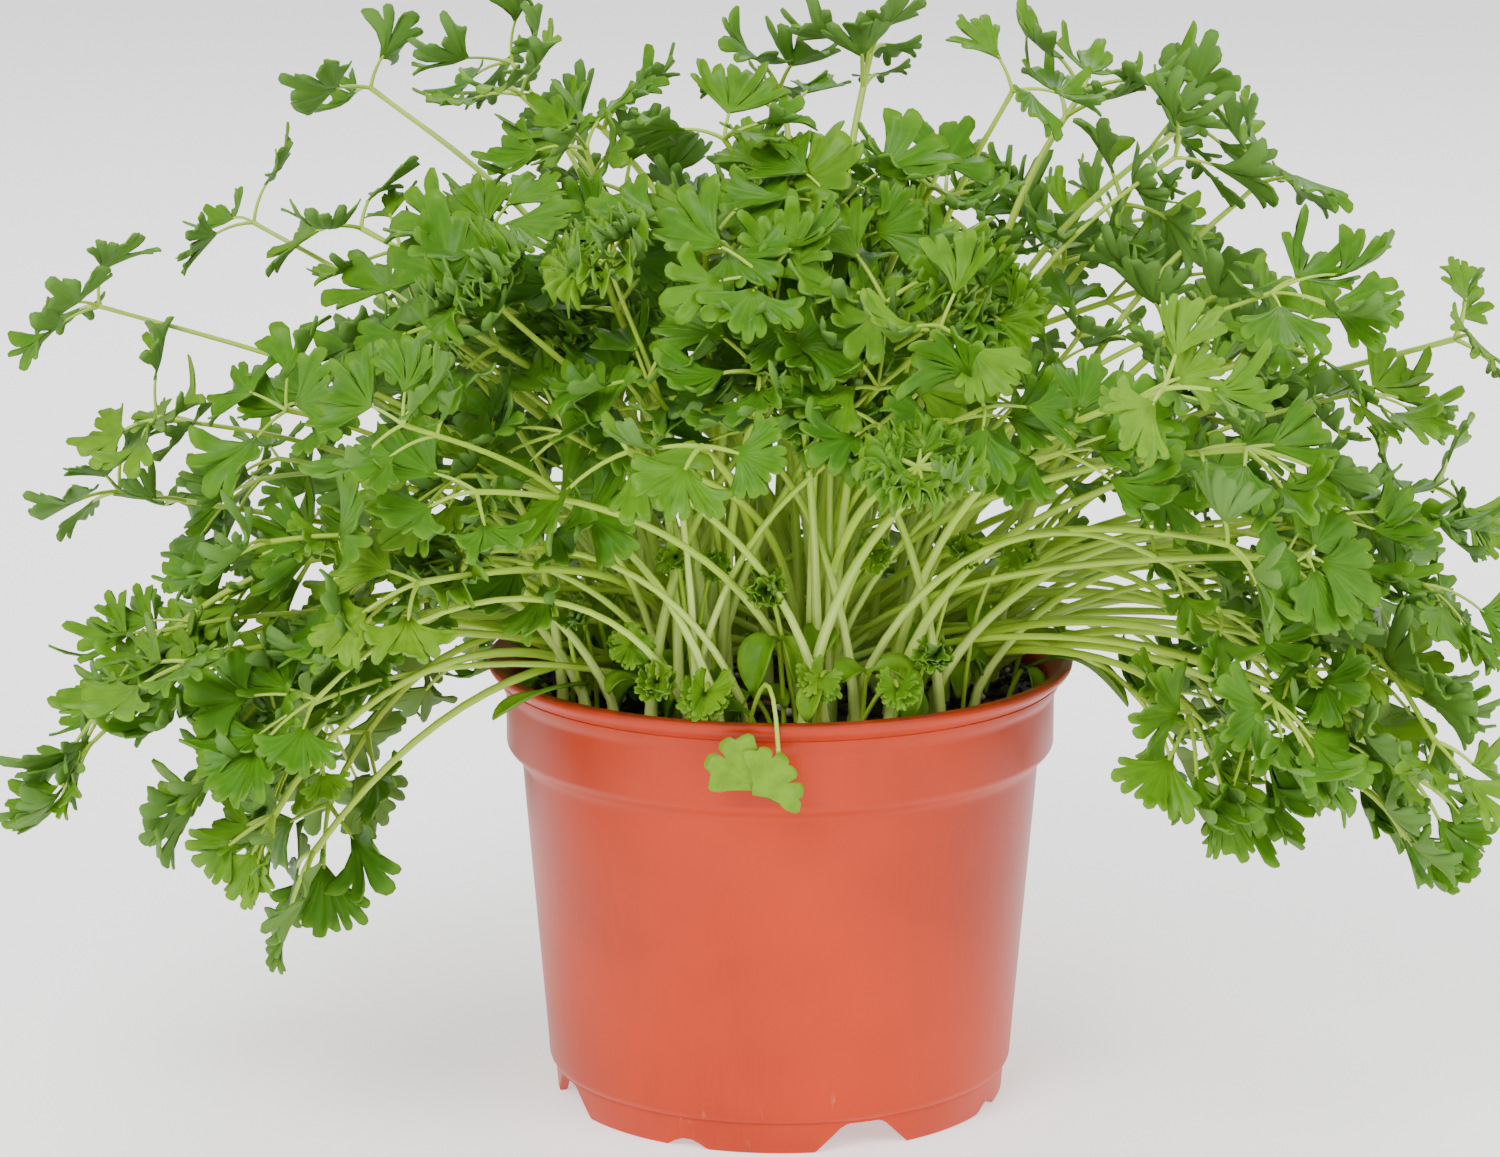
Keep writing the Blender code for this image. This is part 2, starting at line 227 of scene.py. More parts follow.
def run_tree(obj, tree, values):
    """Run a geometry tree on an object and return the result as a plain mesh."""
    modifier = obj.modifiers.new("grow", "NODES")
    modifier.node_group = tree
    for item in tree.interface.items_tree:
        if item.item_type == "SOCKET" and item.in_out == "INPUT" and item.name in values:
            modifier[item.identifier] = values[item.name]
    mesh = applied(obj)
    obj.modifiers.remove(modifier)
    return mesh


def applied(obj):
    """The object's mesh as its modifiers leave it."""
    bpy.context.view_layer.update()
    graph = bpy.context.evaluated_depsgraph_get()
    return bpy.data.meshes.new_from_object(
        obj.evaluated_get(graph), preserve_all_data_layers=True, depsgraph=graph
    )


def scratch_object(name, mesh):
    obj = bpy.data.objects.new(name, mesh)
    bpy.context.scene.collection.objects.link(obj)
    return obj


def drop(obj):
    """Remove a helper object and its mesh."""
    mesh = obj.data
    bpy.data.objects.remove(obj, do_unlink=True)
    if mesh is not None and mesh.users == 0:
        bpy.data.meshes.remove(mesh)


def finished_mesh(name, bm, turn_out=True):
    """Turn a bmesh into a mesh, with its faces turned outwards if asked."""
    if turn_out:
        bmesh.ops.recalc_face_normals(bm, faces=bm.faces[:])
    mesh = bpy.data.meshes.new(name)
    bm.to_mesh(mesh)
    bm.free()
    return mesh


def set_attribute(mesh, name, kind, values):
    """Store one value for each vertex; kind is FLOAT, INT or FLOAT_VECTOR."""
    layer = mesh.attributes.new(name, kind, "POINT")
    if kind == "FLOAT_VECTOR":
        layer.data.foreach_set("vector", [c for value in values for c in value])
    else:
        layer.data.foreach_set("value", values)


def grown_mesh(name, points, edges, attributes, tree, values):
    """Run a geometry tree on points, and edges between them, that carry attributes."""
    base = bpy.data.meshes.new(name)
    base.from_pydata(points, edges, [])
    for label, (kind, numbers) in attributes.items():
        set_attribute(base, label, kind, numbers)
    carrier = scratch_object(f"{name}_base", base)
    mesh = run_tree(carrier, tree, values)
    drop(carrier)
    return mesh


def bent(start, middle, end, t):
    """A point on the curve from start to end that is drawn towards middle."""
    u = 1 - t
    return start * u * u + middle * (2 * u * t) + end * t * t


def reach_along(low, high, out):
    """How far out a box starts and ends along a level direction from the axis."""
    axis = 0 if abs(out.x) > abs(out.y) else 1
    near, far = (low, high) if out[axis] > 0 else (high, low)
    return abs(near[axis] / out[axis]), abs(far[axis] / out[axis])


def add_piece(name, mesh, stands_for=()):
    """Put a finished mesh in the scene as a piece that rides on the plant's one body."""
    if not mesh.polygons:
        raise RuntimeError(f"{name} came out empty")
    mesh.name = name
    obj = scratch_object(name, mesh)
    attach(obj, BODY)
    if stands_for:
        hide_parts(*stands_for)
    return obj


def shade_smooth(mesh, angle=None):
    mesh.polygons.foreach_set("use_smooth", [True] * len(mesh.polygons))
    if angle is not None:
        mesh.set_sharp_from_angle(angle=radians(angle))


# ---------------------------------------------------------------- materials


def new_material(name):
    """A material with a bare Principled shader; returns the material, its tree and the shader."""
    material = bpy.data.materials.new(name)
    material.use_nodes = True
    tree = material.node_tree
    return material, tree, tree.nodes["Principled BSDF"]


def named_material(name, make, settings):
    """The material of that name, made now if no earlier step has made it."""
    return bpy.data.materials.get(name) or make(settings)


def shade(colour, factor=1.0):
    """A colour made darker or lighter, as a node's colour socket takes it."""
    return (*(min(1.0, c * factor) for c in colour), 1.0)


def plastic_material(settings):
    """Injection-moulded polypropylene: a terracotta satin with a pale rubbed bloom on the edges,
    fine upright drag marks from the mould, a few dark specks, and a lip stained by compost, with
    painted shade along its top edge."""
    material, tree, shader = new_material("moulded_polypropylene")
    place = add_node(tree, "ShaderNodeTexCoord").outputs["Object"]
    height = add_node(tree, "ShaderNodeSeparateXYZ", {0: place}).outputs[2]
    base, bloom, stain_and_shade = settings.colour, shade(settings.bloom), shade(settings.stain_and_shade)
    # Slow cloudiness, 40 mm across, as in recycled plastic
    cloud = add_node(tree, "ShaderNodeTexNoise", {0: place, "Scale": 26.0, "Detail": 3.0})
    body = add_node(
        tree,
        "ShaderNodeValToRGB",
        {0: cloud},
        stops=[(0.35, shade(base, 0.86)), (0.5, shade(base)), (0.68, shade(base, 1.1))],
    )
    # Drag marks: 0.8 mm apart round the pot and 60 mm long
    tall = add_node(tree, "ShaderNodeMapping", {0: place, "Scale": (1250.0, 1250.0, 16.0)})
    drag = add_node(tree, "ShaderNodeTexNoise", {0: tall, "Scale": 1.0, "Detail": 2.0})
    mark = add_node(tree, "ShaderNodeMapRange", {0: drag, 1: 0.42, 2: 0.72, 4: 0.3})
    # Bloom: handling has left pale upright scuffs, about 2 by 6 mm, round the foot
    upright = add_node(tree, "ShaderNodeMapping", {0: place, "Scale": (190.0, 190.0, 60.0)})
    rub = add_node(
        tree, "ShaderNodeTexNoise", {0: upright, "Scale": 1.0, "Detail": 5.0, "Roughness": 0.7}
    )
    low_down = add_node(tree, "ShaderNodeMapRange", {0: height, 1: 26.0 * MM, 2: 6.0 * MM})
    scuff = add_node(tree, "ShaderNodeMapRange", {0: rub, 1: 0.62, 2: 0.76, 4: 0.6})
    scuff = add_node(tree, "ShaderNodeMath", {0: scuff, 1: low_down}, operation="MULTIPLY")
    # Specks: dark flecks under 1 mm, about one to each square centimetre
    cells = add_node(tree, "ShaderNodeTexVoronoi", {0: place, "Scale": 95.0})
    gate = add_node(tree, "ShaderNodeTexNoise", {0: place, "Scale": 55.0, "Detail": 1.0})
    open_gate = add_node(tree, "ShaderNodeMapRange", {0: gate, 1: 0.6, 2: 0.63})
    fleck = add_node(
        tree, "ShaderNodeMapRange", {0: cells.outputs["Distance"], 1: 0.075, 2: 0.03, 4: 0.6}
    )
    fleck = add_node(tree, "ShaderNodeMath", {0: fleck, 1: open_gate}, operation="MULTIPLY")
    # The lip's edge and the wall inside it have held wet compost; the darkening of the top 1.5 mm
    # is partly that and partly painted shade
    grime = add_node(
        tree, "ShaderNodeTexNoise", {0: place, "Scale": 160.0, "Detail": 5.0, "Roughness": 0.65}
    )
    at_lip = add_node(
        tree, "ShaderNodeMapRange", {0: height, 1: POT_TOP - 1.5 * MM, 2: POT_TOP, 4: 0.8}
    )
    patchy = add_node(tree, "ShaderNodeMapRange", {0: grime, 1: 0.3, 2: 0.6, 3: 0.4})
    soiled_and_shaded = add_node(tree, "ShaderNodeMath", {0: at_lip, 1: patchy}, operation="MULTIPLY")
    layers = ((mark, shade(base, 1.1)), (scuff, bloom), (fleck, stain_and_shade), (soiled_and_shaded, stain_and_shade))
    for share, colour in layers:
        body = add_node(
            tree, "ShaderNodeMix", {0: share, 6: body, 7: colour}, data_type="RGBA"
        ).outputs[2]
    rough = add_node(tree, "ShaderNodeMapRange", {0: cloud, 1: 0.3, 2: 0.7, 3: 0.33, 4: 0.43})
    rough = add_node(
        tree, "ShaderNodeMath", {0: scuff, 1: 0.4, 2: rough}, operation="MULTIPLY_ADD"
    )
    relief = add_node(
        tree, "ShaderNodeMath", {0: drag, 1: 0.5, 2: cloud}, operation="MULTIPLY_ADD"
    )
    bump = add_node(
        tree, "ShaderNodeBump", {"Strength": 0.12, "Distance": 0.3 * MM, "Height": relief}
    )
    feed(shader, {"Base Color": body, "Roughness": rough, "Normal": bump})
    feed(shader, {"IOR": 1.49, "Specular IOR Level": 0.28})
    return material


def compost_material(settings):
    """Damp peat compost: near black, with brown fibre and a little glint where it is wet."""
    material, tree, shader = new_material("peat_compost")
    place = add_node(tree, "ShaderNodeTexCoord").outputs["Object"]
    grain = add_node(
        tree, "ShaderNodeTexNoise", {0: place, "Scale": 420.0, "Detail": 6.0, "Roughness": 0.7}
    )
    clods = add_node(tree, "ShaderNodeTexNoise", {0: place, "Scale": 110.0, "Detail": 3.0})
    base = settings.colour
    body = add_node(
        tree,
        "ShaderNodeValToRGB",
        {0: grain},
        stops=[(0.3, shade(base, 0.3)), (0.52, shade(base)), (0.75, shade(base, 2.1))],
    )
    hollow = add_node(tree, "ShaderNodeMapRange", {0: clods, 1: 0.35, 2: 0.65, 4: 0.6})
    body = add_node(
        tree, "ShaderNodeMix", {0: hollow, 6: body, 7: shade(base, 0.3)}, data_type="RGBA"
    ).outputs[2]
    rough = add_node(tree, "ShaderNodeMapRange", {0: grain, 1: 0.3, 2: 0.7, 3: 0.6, 4: 0.95})
    bump = add_node(
        tree, "ShaderNodeBump", {"Strength": 0.7, "Distance": 0.6 * MM, "Height": grain}
    )
    feed(shader, {"Base Color": body, "Roughness": rough, "Normal": bump})
    return material


def grain_material(name, rgb, depth, roughness, scale):
    """Loose grains: expanded perlite is chalky and pitted, bark is dull and fibrous."""
    material, tree, shader = new_material(name)
    place = add_node(tree, "ShaderNodeTexCoord").outputs["Object"]
    pits = add_node(
        tree, "ShaderNodeTexNoise", {0: place, "Scale": scale, "Detail": 5.0, "Roughness": 0.7}
    )
    tint = add_node(tree, "ShaderNodeAttribute", attribute_name="tone").outputs["Fac"]
    dark = shade(rgb, depth)
    body = add_node(tree, "ShaderNodeValToRGB", {0: pits}, stops=[(0.3, dark), (0.6, shade(rgb))])
    duller = add_node(tree, "ShaderNodeMapRange", {0: tint, 4: 0.6})
    body = add_node(
        tree, "ShaderNodeMix", {0: duller, 6: body, 7: dark}, data_type="RGBA"
    ).outputs[2]
    bump = add_node(
        tree, "ShaderNodeBump", {"Strength": 0.5, "Distance": 0.3 * MM, "Height": pits}
    )
    feed(shader, {"Base Color": body, "Roughness": roughness, "Normal": bump})
    return material


def leaf_material(settings):
    """Parsley blade: a thin satin leaf that lets light through, with pale veins that run out to
    each tooth, a paler matt underside, a painted highlight along the rim, and a tone that differs
    from leaflet to leaflet."""
    material, tree, shader = new_material("parsley_blade")
    place = add_node(tree, "ShaderNodeTexCoord").outputs["Object"]
    tone, vein, edge, under = (
        add_node(tree, "ShaderNodeAttribute", attribute_name=name).outputs["Fac"]
        for name in ("tone", "vein", "edge", "under")
    )
    grown, young = shade(settings.leaf_colour), shade(settings.leaf_young)
    upper = add_node(
        tree,
        "ShaderNodeValToRGB",
        {0: tone},
        stops=[(0.0, shade(settings.leaf_dark)), (0.55, grown), (1.0, young)],
    )
    # Cell-deep mottling, 3 mm across
    mottle = add_node(tree, "ShaderNodeTexNoise", {0: place, "Scale": 330.0, "Detail": 4.0})
    deep = add_node(tree, "ShaderNodeMapRange", {0: mottle, 1: 0.42, 2: 0.68, 4: 0.36})
    # Veins: 0.5 mm lines, drawn about twice their real width so that they show
    line = add_node(tree, "ShaderNodeMapRange", {0: vein, 1: 0.03, 2: 0.0})
    inward = add_node(tree, "ShaderNodeMapRange", {0: edge, 1: 1.0, 2: 0.5})
    line = add_node(tree, "ShaderNodeMath", {0: line, 1: inward}, operation="MULTIPLY")
    faint = add_node(tree, "ShaderNodeMath", {0: line, 1: 0.2}, operation="MULTIPLY")
    clear = add_node(tree, "ShaderNodeMath", {0: line, 1: 0.35}, operation="MULTIPLY")
    # Painted highlight: the rim is paler than the rest, as where the edges catch the light
    pale = add_node(tree, "ShaderNodeMapRange", {0: edge, 1: 0.8, 2: 1.0, 4: 0.34})
    darker = add_node(tree, "ShaderNodeMapRange", {0: tone, 2: 0.7, 3: 0.45, 4: 0.0})
    for share, colour in ((deep, shade(settings.leaf_dark, 0.66)), (faint, young), (pale, young)):
        upper = add_node(
            tree, "ShaderNodeMix", {0: share, 6: upper, 7: colour}, data_type="RGBA"
        ).outputs[2]
    lower = shade(settings.leaf_under)
    for share, colour in ((clear, young), (darker, grown)):
        lower = add_node(
            tree, "ShaderNodeMix", {0: share, 6: lower, 7: colour}, data_type="RGBA"
        ).outputs[2]
    body = add_node(
        tree, "ShaderNodeMix", {0: under, 6: upper, 7: lower}, data_type="RGBA"
    ).outputs[2]
    rough = add_node(tree, "ShaderNodeMapRange", {0: under, 3: 0.4, 4: 0.6})
    relief = add_node(
        tree, "ShaderNodeMath", {0: line, 1: -0.5, 2: mottle}, operation="MULTIPLY_ADD"
    )
    bump = add_node(
        tree, "ShaderNodeBump", {"Strength": 0.35, "Distance": 0.25 * MM, "Height": relief}
    )
    feed(shader, {"Base Color": body, "Roughness": rough, "Normal": bump})
    feed(shader, {"IOR": 1.42, "Specular IOR Level": 0.3})
    # Light from behind comes through yellower than the leaf's own green
    through = add_node(
        tree, "ShaderNodeMix", {0: 0.6, 6: body, 7: shade(hex_to_rgb("#A8D22E"))}, data_type="RGBA"
    ).outputs[2]
    glow = add_node(tree, "ShaderNodeBsdfTranslucent", {"Color": through})
    blend = add_node(tree, "ShaderNodeMixShader", {0: 0.3, 1: shader, 2: glow})
    feed(tree.nodes["Material Output"], {"Surface": blend})
    return material


def stalk_material(settings):
    """Parsley stalk: juicy and smooth, nearly white at the base and yellow-green above, with
    faint green ribs lengthwise and a thin waxy shine."""
    material, tree, shader = new_material("parsley_stalk")
    place = add_node(tree, "ShaderNodeTexCoord").outputs["Object"]
    around, along, tone = (
        add_node(tree, "ShaderNodeAttribute", attribute_name=name).outputs["Fac"]
        for name in ("around", "along", "tone")
    )
    green = settings.stalk_colour
    deep = shade(green, 0.6)
    body = add_node(
        tree,
        "ShaderNodeValToRGB",
        {0: along},
        stops=[(0.0, shade(settings.stalk_pale)), (0.35, shade(green)), (1.0, shade(green, 0.8))],
    )
    darker = add_node(tree, "ShaderNodeMapRange", {0: tone, 2: 0.8, 3: 0.35, 4: 0.0})
    # Five ribs round the stalk
    turn = add_node(tree, "ShaderNodeMath", {0: around, 1: 10.0 * pi}, operation="MULTIPLY")
    rib = add_node(tree, "ShaderNodeMath", {0: turn}, operation="SINE")
    furrow = add_node(tree, "ShaderNodeMapRange", {0: rib, 1: -1.0, 3: 0.24, 4: 0.0})
    # The green fades in and out over a few centimetres
    drift = add_node(tree, "ShaderNodeTexNoise", {0: place, "Scale": 45.0, "Detail": 2.0})
    fade = add_node(tree, "ShaderNodeMapRange", {0: drift, 1: 0.45, 2: 0.65, 4: 0.35})
    for share, colour in ((darker, deep), (furrow, deep), (fade, shade(green))):
        body = add_node(
            tree, "ShaderNodeMix", {0: share, 6: body, 7: colour}, data_type="RGBA"
        ).outputs[2]
    bump = add_node(
        tree, "ShaderNodeBump", {"Strength": 0.2, "Distance": 0.12 * MM, "Height": rib}
    )
    feed(shader, {"Base Color": body, "Roughness": 0.34, "Normal": bump, "IOR": 1.4})
    return material


# ---------------------------------------------------------------- pot


def arc(centre, radius, start, end, steps):
    """Points on an arc of a profile, from one angle to the other in degrees."""
    points = []
    for i in range(steps + 1):
        angle = radians(start + (end - start) * i / steps)
        points.append((centre[0] + radius * cos(angle), centre[1] + radius * sin(angle)))
    return points


FOOT_HEIGHT = 6.5 * MM
FOOT_RADIUS = RIM - 14.2 * MM
FOOT_WALL = 1.8 * MM
BODY_TOP_INSET = 7.4 * MM  # of the body's top inside the lip's radius
BODY_BOTTOM_INSET = 12.8 * MM
BAND_BOTTOM_DROP = 19.5 * MM  # of the band's lower edge under the pot's top
BAND_TOP_DROP = 7.4 * MM
POT_STEPS = 144
BODY_RINGS = 8
# The lip and its flare: how far in from the pot's radius, how far under its top, in millimetres
LIP_POINTS = (
    (2.6, 0.95),
    (1.9, 0.25),
    (1.2, 0.0),
    (0.55, 0.12),
    (0.12, 0.5),
    (0.0, 1.1),
    (0.15, 1.8),
    (0.6, 2.5),
    (1.2, 3.1),
    (1.9, 3.65),
    (2.4, 4.05),
    (2.58, 4.25),
    (2.72, 4.4),  # fine parting groove
    (2.58, 4.55),
    (2.75, 5.2),
    (3.1, 6.1),
    (3.55, 6.8),
    (3.88, 7.3),
    (4.0, 8.2),
)
FOOT_ARCHES = 4
ARCH_AZIMUTH = radians(21.0)
NOTCH_AZIMUTH = radians(66.0)
DRAIN_HOLES = 8
DRAIN_RADIUS = 4.0 * MM
DRAIN_CIRCLE = 36.0 * MM


def pot_profile(settings):
    """(radius, height) points: floor's upper face, wall, lip, band, body, foot, underside."""
    wall = settings.wall
    band = RIM - settings.band_inset
    body_top = RIM - BODY_TOP_INSET
    body_bottom = RIM - BODY_BOTTOM_INSET
    band_bottom = POT_TOP - BAND_BOTTOM_DROP
    band_top = POT_TOP - BAND_TOP_DROP
    floor_top = FOOT_HEIGHT + wall
    inside = [(0.0, floor_top)]
    inside += arc((body_bottom - wall - 2.0 * MM, floor_top + 2.0 * MM), 2.0 * MM, -90, 0, 4)
    inside += [
        (body_top - wall, band_bottom - 3.6 * MM),
        (band - 3.0 * MM, band_bottom - 1.0 * MM),
        (band - 2.2 * MM, band_top - 1.0 * MM),
        (band - 1.9 * MM, band_top + 2.2 * MM),
        (band - 1.2 * MM, band_top + 3.8 * MM),
        (RIM - 3.7 * MM, POT_TOP - 2.2 * MM),
    ]
    lip = [(RIM - inset * MM, POT_TOP - drop * MM) for inset, drop in LIP_POINTS]
    step = [
        (band, band_bottom + 0.8 * MM),
        (band - 0.15 * MM, band_bottom + 0.2 * MM),
        (band - 0.6 * MM, band_bottom - 0.5 * MM),
        (band - 1.6 * MM, band_bottom - 1.5 * MM),
        (body_top + 0.5 * MM, band_bottom - 2.6 * MM),
        (body_top + 0.05 * MM, band_bottom - 3.6 * MM),
        (body_top - 0.05 * MM, band_bottom - 4.6 * MM),
    ]
    upper, lower = band_bottom - 4.6 * MM, FOOT_HEIGHT + 3.2 * MM
    for i in range(1, BODY_RINGS):
        share = i / BODY_RINGS
        radius = body_top + (body_bottom - body_top) * share
        step.append((radius, upper * (1 - share) + lower * share))
    corner = 2.4 * MM
    base = arc((body_bottom - corner, FOOT_HEIGHT + corner), corner, 0, -62, 5)
    foot_inner = FOOT_RADIUS - 0.5 * MM - FOOT_WALL
    base += [
        (FOOT_RADIUS + 0.15 * MM, FOOT_HEIGHT - 0.15 * MM),
        (FOOT_RADIUS, FOOT_HEIGHT - 0.7 * MM),
        (FOOT_RADIUS - 0.4 * MM, 0.5 * MM),
        (FOOT_RADIUS - 0.6 * MM, 0.12 * MM),
        (FOOT_RADIUS - 0.9 * MM, 0.0),
        (foot_inner + 0.4 * MM, 0.0),
        (foot_inner, 0.4 * MM),
        (foot_inner, FOOT_HEIGHT),
        (0.0, FOOT_HEIGHT),
    ]
    return inside + lip + step + base


def turned_mesh(name, profile, steps):
    """A profile whose two ends lie on the axis, turned about Z into a closed mesh."""
    bm = bmesh.new()
    verts = [bm.verts.new((radius, 0.0, height)) for radius, height in profile]
    edges = [bm.edges.new(pair) for pair in zip(verts, verts[1:])]
    bmesh.ops.spin(
        bm, geom=verts + edges, cent=(0, 0, 0), axis=(0, 0, 1), angle=2 * pi, steps=steps
    )
    bmesh.ops.remove_doubles(bm, verts=bm.verts[:], dist=0.002 * MM)
    return finished_mesh(name, bm)


def foot_cutter(azimuth, top_width, bottom_width, height):
    """A wedge across the foot ring, wider at the ground, with its two upper edges rounded."""
    start, end = FOOT_RADIUS - 8.0 * MM, FOOT_RADIUS + 8.0 * MM
    below = 3.0 * MM
    slope = (bottom_width - top_width) / height
    ground = bottom_width + slope * below
    outline = [(-ground / 2, -below), (ground / 2, -below)]
    round_off = min(1.0 * MM, height * 0.35)
    outline += [
        (top_width / 2 + round_off * slope / 2, height - round_off),
        (top_width / 2 - round_off * 0.3, height - round_off * 0.2),
        (top_width / 2 - round_off, height),
        (-top_width / 2 + round_off, height),
        (-top_width / 2 + round_off * 0.3, height - round_off * 0.2),
        (-top_width / 2 - round_off * slope / 2, height - round_off),
    ]
    bm = bmesh.new()
    near = [bm.verts.new((start, y, z)) for y, z in outline]
    far = [bm.verts.new((end, y, z)) for y, z in outline]
    bm.faces.new(near)
    bm.faces.new(list(reversed(far)))
    for i in range(len(outline)):
        j = (i + 1) % len(outline)
        bm.faces.new((near[j], near[i], far[i], far[j]))
    bmesh.ops.recalc_face_normals(bm, faces=bm.faces[:])
    bmesh.ops.rotate(bm, verts=bm.verts[:], matrix=Matrix.Rotation(azimuth - pi / 2, 3, "Z"))
    return bm


def drain_cutter(azimuth):
    bm = bmesh.new()
    centre = outward(azimuth) * DRAIN_CIRCLE + Vector((0.0, 0.0, FOOT_HEIGHT))
    bmesh.ops.create_cone(
        bm,
        cap_ends=True,
        segments=24,
        radius1=DRAIN_RADIUS,
        radius2=DRAIN_RADIUS,
        depth=8.0 * MM,
        matrix=Matrix.Translation(centre),
    )
    return bm


class OBJECT_OT_parsley_pot(bpy.types.Operator):
    """Make the nursery pot: turned shell, band, flared lip, foot arches and drain holes"""

    bl_idname = "object.parsley_pot"
    bl_label = "Pot"

    def execute(self, context):
        settings = context.scene.parsley_pot
        mesh = turned_mesh("pot_shell", pot_profile(settings), POT_STEPS)
        pot = scratch_object("pot_work", mesh)
        cutters = []
        for i in range(FOOT_ARCHES):
            turn = 2 * pi * i / FOOT_ARCHES
            cutters.append(
                foot_cutter(ARCH_AZIMUTH + turn, 8.6 * MM, 21.6 * MM, FOOT_HEIGHT - 0.2 * MM)
            )
            cutters.append(foot_cutter(NOTCH_AZIMUTH + turn, 3.2 * MM, 10.0 * MM, 2.0 * MM))
        for i in range(DRAIN_HOLES):
            cutters.append(drain_cutter(ARCH_AZIMUTH + 2 * pi * i / DRAIN_HOLES))
        helpers = []
        for i, bm in enumerate(cutters):
            helper = scratch_object(f"pot_cut_{i}", finished_mesh(f"pot_cut_{i}", bm, False))
            helpers.append(helper)
            boolean = pot.modifiers.new(helper.name, "BOOLEAN")
            boolean.operation = "DIFFERENCE"
            boolean.solver = "EXACT"
            boolean.object = helper
        finished = applied(pot)
        for helper in helpers + [pot]:
            drop(helper)
        finished.materials.clear()
        finished.materials.append(plastic_material(settings))
        shade_smooth(finished, angle=32)
        add_piece("nursery_pot", finished, ["pot"])
        return {"FINISHED"}


# ---------------------------------------------------------------- compost


def soil_level(radius):
    """Height of the compost's smooth surface at a distance from the axis."""
    share = min(1.0, radius / SOIL_RADIUS)
    return SOIL_TOP - SOIL_MOUND * share * share


def soil_mesh():
    """The compost's closed body, with a lumpy top that is finest at the surface."""
    rings, sides = 44, 150
    bm = bmesh.new()
    rows = []
    for i in range(1, rings + 1):
        radius = SOIL_RADIUS * i / rings
        row = []
        for j in range(sides):
            angle = 2 * pi * j / sides
            x, y = radius * cos(angle), radius * sin(angle)
            here = Vector((x, y, 0.0))
            lump = noise.fractal(here * 140.0, 1.0, 2.0, 4)
            clod = noise.noise(here * 55.0)
            fade = min(1.0, (SOIL_RADIUS - radius) / (4.0 * MM) + 0.25)
            rise = (0.9 * lump + 1.0 * clod - 0.7) * MM * fade
            row.append(bm.verts.new((x, y, soil_level(radius) + min(0.9 * MM, rise))))
        rows.append(row)
    middle = bm.verts.new((0.0, 0.0, SOIL_TOP - 0.6 * MM))
    wall = RIM - 4.0 * MM - 3.3 * MM
    for radius, height in (
        (wall, POT_TOP - 20.4 * MM),
        (RIM - 9.0 * MM, POT_TOP - 23.6 * MM),
        (SOIL_HIGH.x * 0.86, SOIL_LOW.z + 2.0 * MM),
        (SOIL_HIGH.x * 0.84, SOIL_LOW.z),
    ):
        row = []
        for j in range(sides):
            angle = 2 * pi * j / sides
            row.append(bm.verts.new((radius * cos(angle), radius * sin(angle), height)))
        rows.append(row)
    for j in range(sides):
        k = (j + 1) % sides
        bm.faces.new((middle, rows[0][j], rows[0][k]))
        for inner, outer in zip(rows, rows[1:]):
            bm.faces.new((inner[j], outer[j], outer[k], inner[k]))
    bm.faces.new(list(reversed(rows[-1])))
    return finished_mesh("soil", bm)


GRAIN_FORMS = 6  # shapes of each kind of loose grain
GRAIN_MARGIN = 1.6 * MM  # from the outermost grains to the pot's wall


def pebble_mesh(name, draw, stretch, roughness):
    """One irregular grain about 1 unit across, from a jittered icosphere."""
    bm = bmesh.new()
    bmesh.ops.create_icosphere(bm, subdivisions=2, radius=0.5)
    shift = Vector((draw.uniform(0, 9), draw.uniform(0, 9), draw.uniform(0, 9)))
    for vert in bm.verts:
        swell = 1.0 + roughness * noise.noise(vert.co * 2.6 + shift)
        swell += 0.5 * roughness * noise.noise(vert.co * 6.0 + shift)
        vert.co = Vector(c * s for c, s in zip(vert.co * swell, stretch))
    mesh = finished_mesh(name, bm, False)
    shade_smooth(mesh)
    return mesh


def scatter_tree():
    """Geometry tree: set loose grains of several forms on a patch of points."""
    tree, given = new_tree(
        "scatter_grains",
        [
            ("Geometry", "NodeSocketGeometry", None),
            ("Forms", "NodeSocketCollection", None),
            ("Material", "NodeSocketMaterial", None),
            ("Seed", "NodeSocketInt", 1),
        ],
    )
    size = add_node(
        tree, "GeometryNodeInputNamedAttribute", {"Name": "size"}, data_type="FLOAT"
    )
    spin = add_node(
        tree, "GeometryNodeInputNamedAttribute", {"Name": "turn"}, data_type="FLOAT_VECTOR"
    )
    forms = add_node(
        tree,
        "GeometryNodeCollectionInfo",
        {0: given.outputs["Forms"], 1: True, 2: True},
    )
    pick = add_node(
        tree,
        "FunctionNodeRandomValue",
        {4: 0, 5: GRAIN_FORMS - 1, 8: given.outputs["Seed"]},
        data_type="INT",
    )
    rotation = add_node(tree, "FunctionNodeEulerToRotation", {0: spin})
    placed = add_node(
        tree,
        "GeometryNodeInstanceOnPoints",
        {
            0: given.outputs["Geometry"],
            2: forms,
            3: True,
            4: pick.outputs[2],
            5: rotation,
            6: size,
        },
    )
    finish_tree(tree, placed, given.outputs["Material"])
    return tree


def finish_tree(tree, source, material):
    """End a geometry tree: real geometry with its material on it."""
    real = add_node(tree, "GeometryNodeRealizeInstances", {0: source})
    painted = add_node(tree, "GeometryNodeSetMaterial", {0: real, 2: material})
    add_node(tree, "NodeGroupOutput", {0: painted})


def form_collection(name, meshes):
    """A collection outside the scene whose objects are the forms that get repeated."""
    collection = bpy.data.collections.new(name)
    for i, mesh in enumerate(meshes):
        obj = bpy.data.objects.new(f"{name}_{i:02d}", mesh)
        collection.objects.link(obj)
    return collection


def drop_forms(collection):
    for obj in list(collection.objects):
        drop(obj)
    bpy.data.collections.remove(collection)


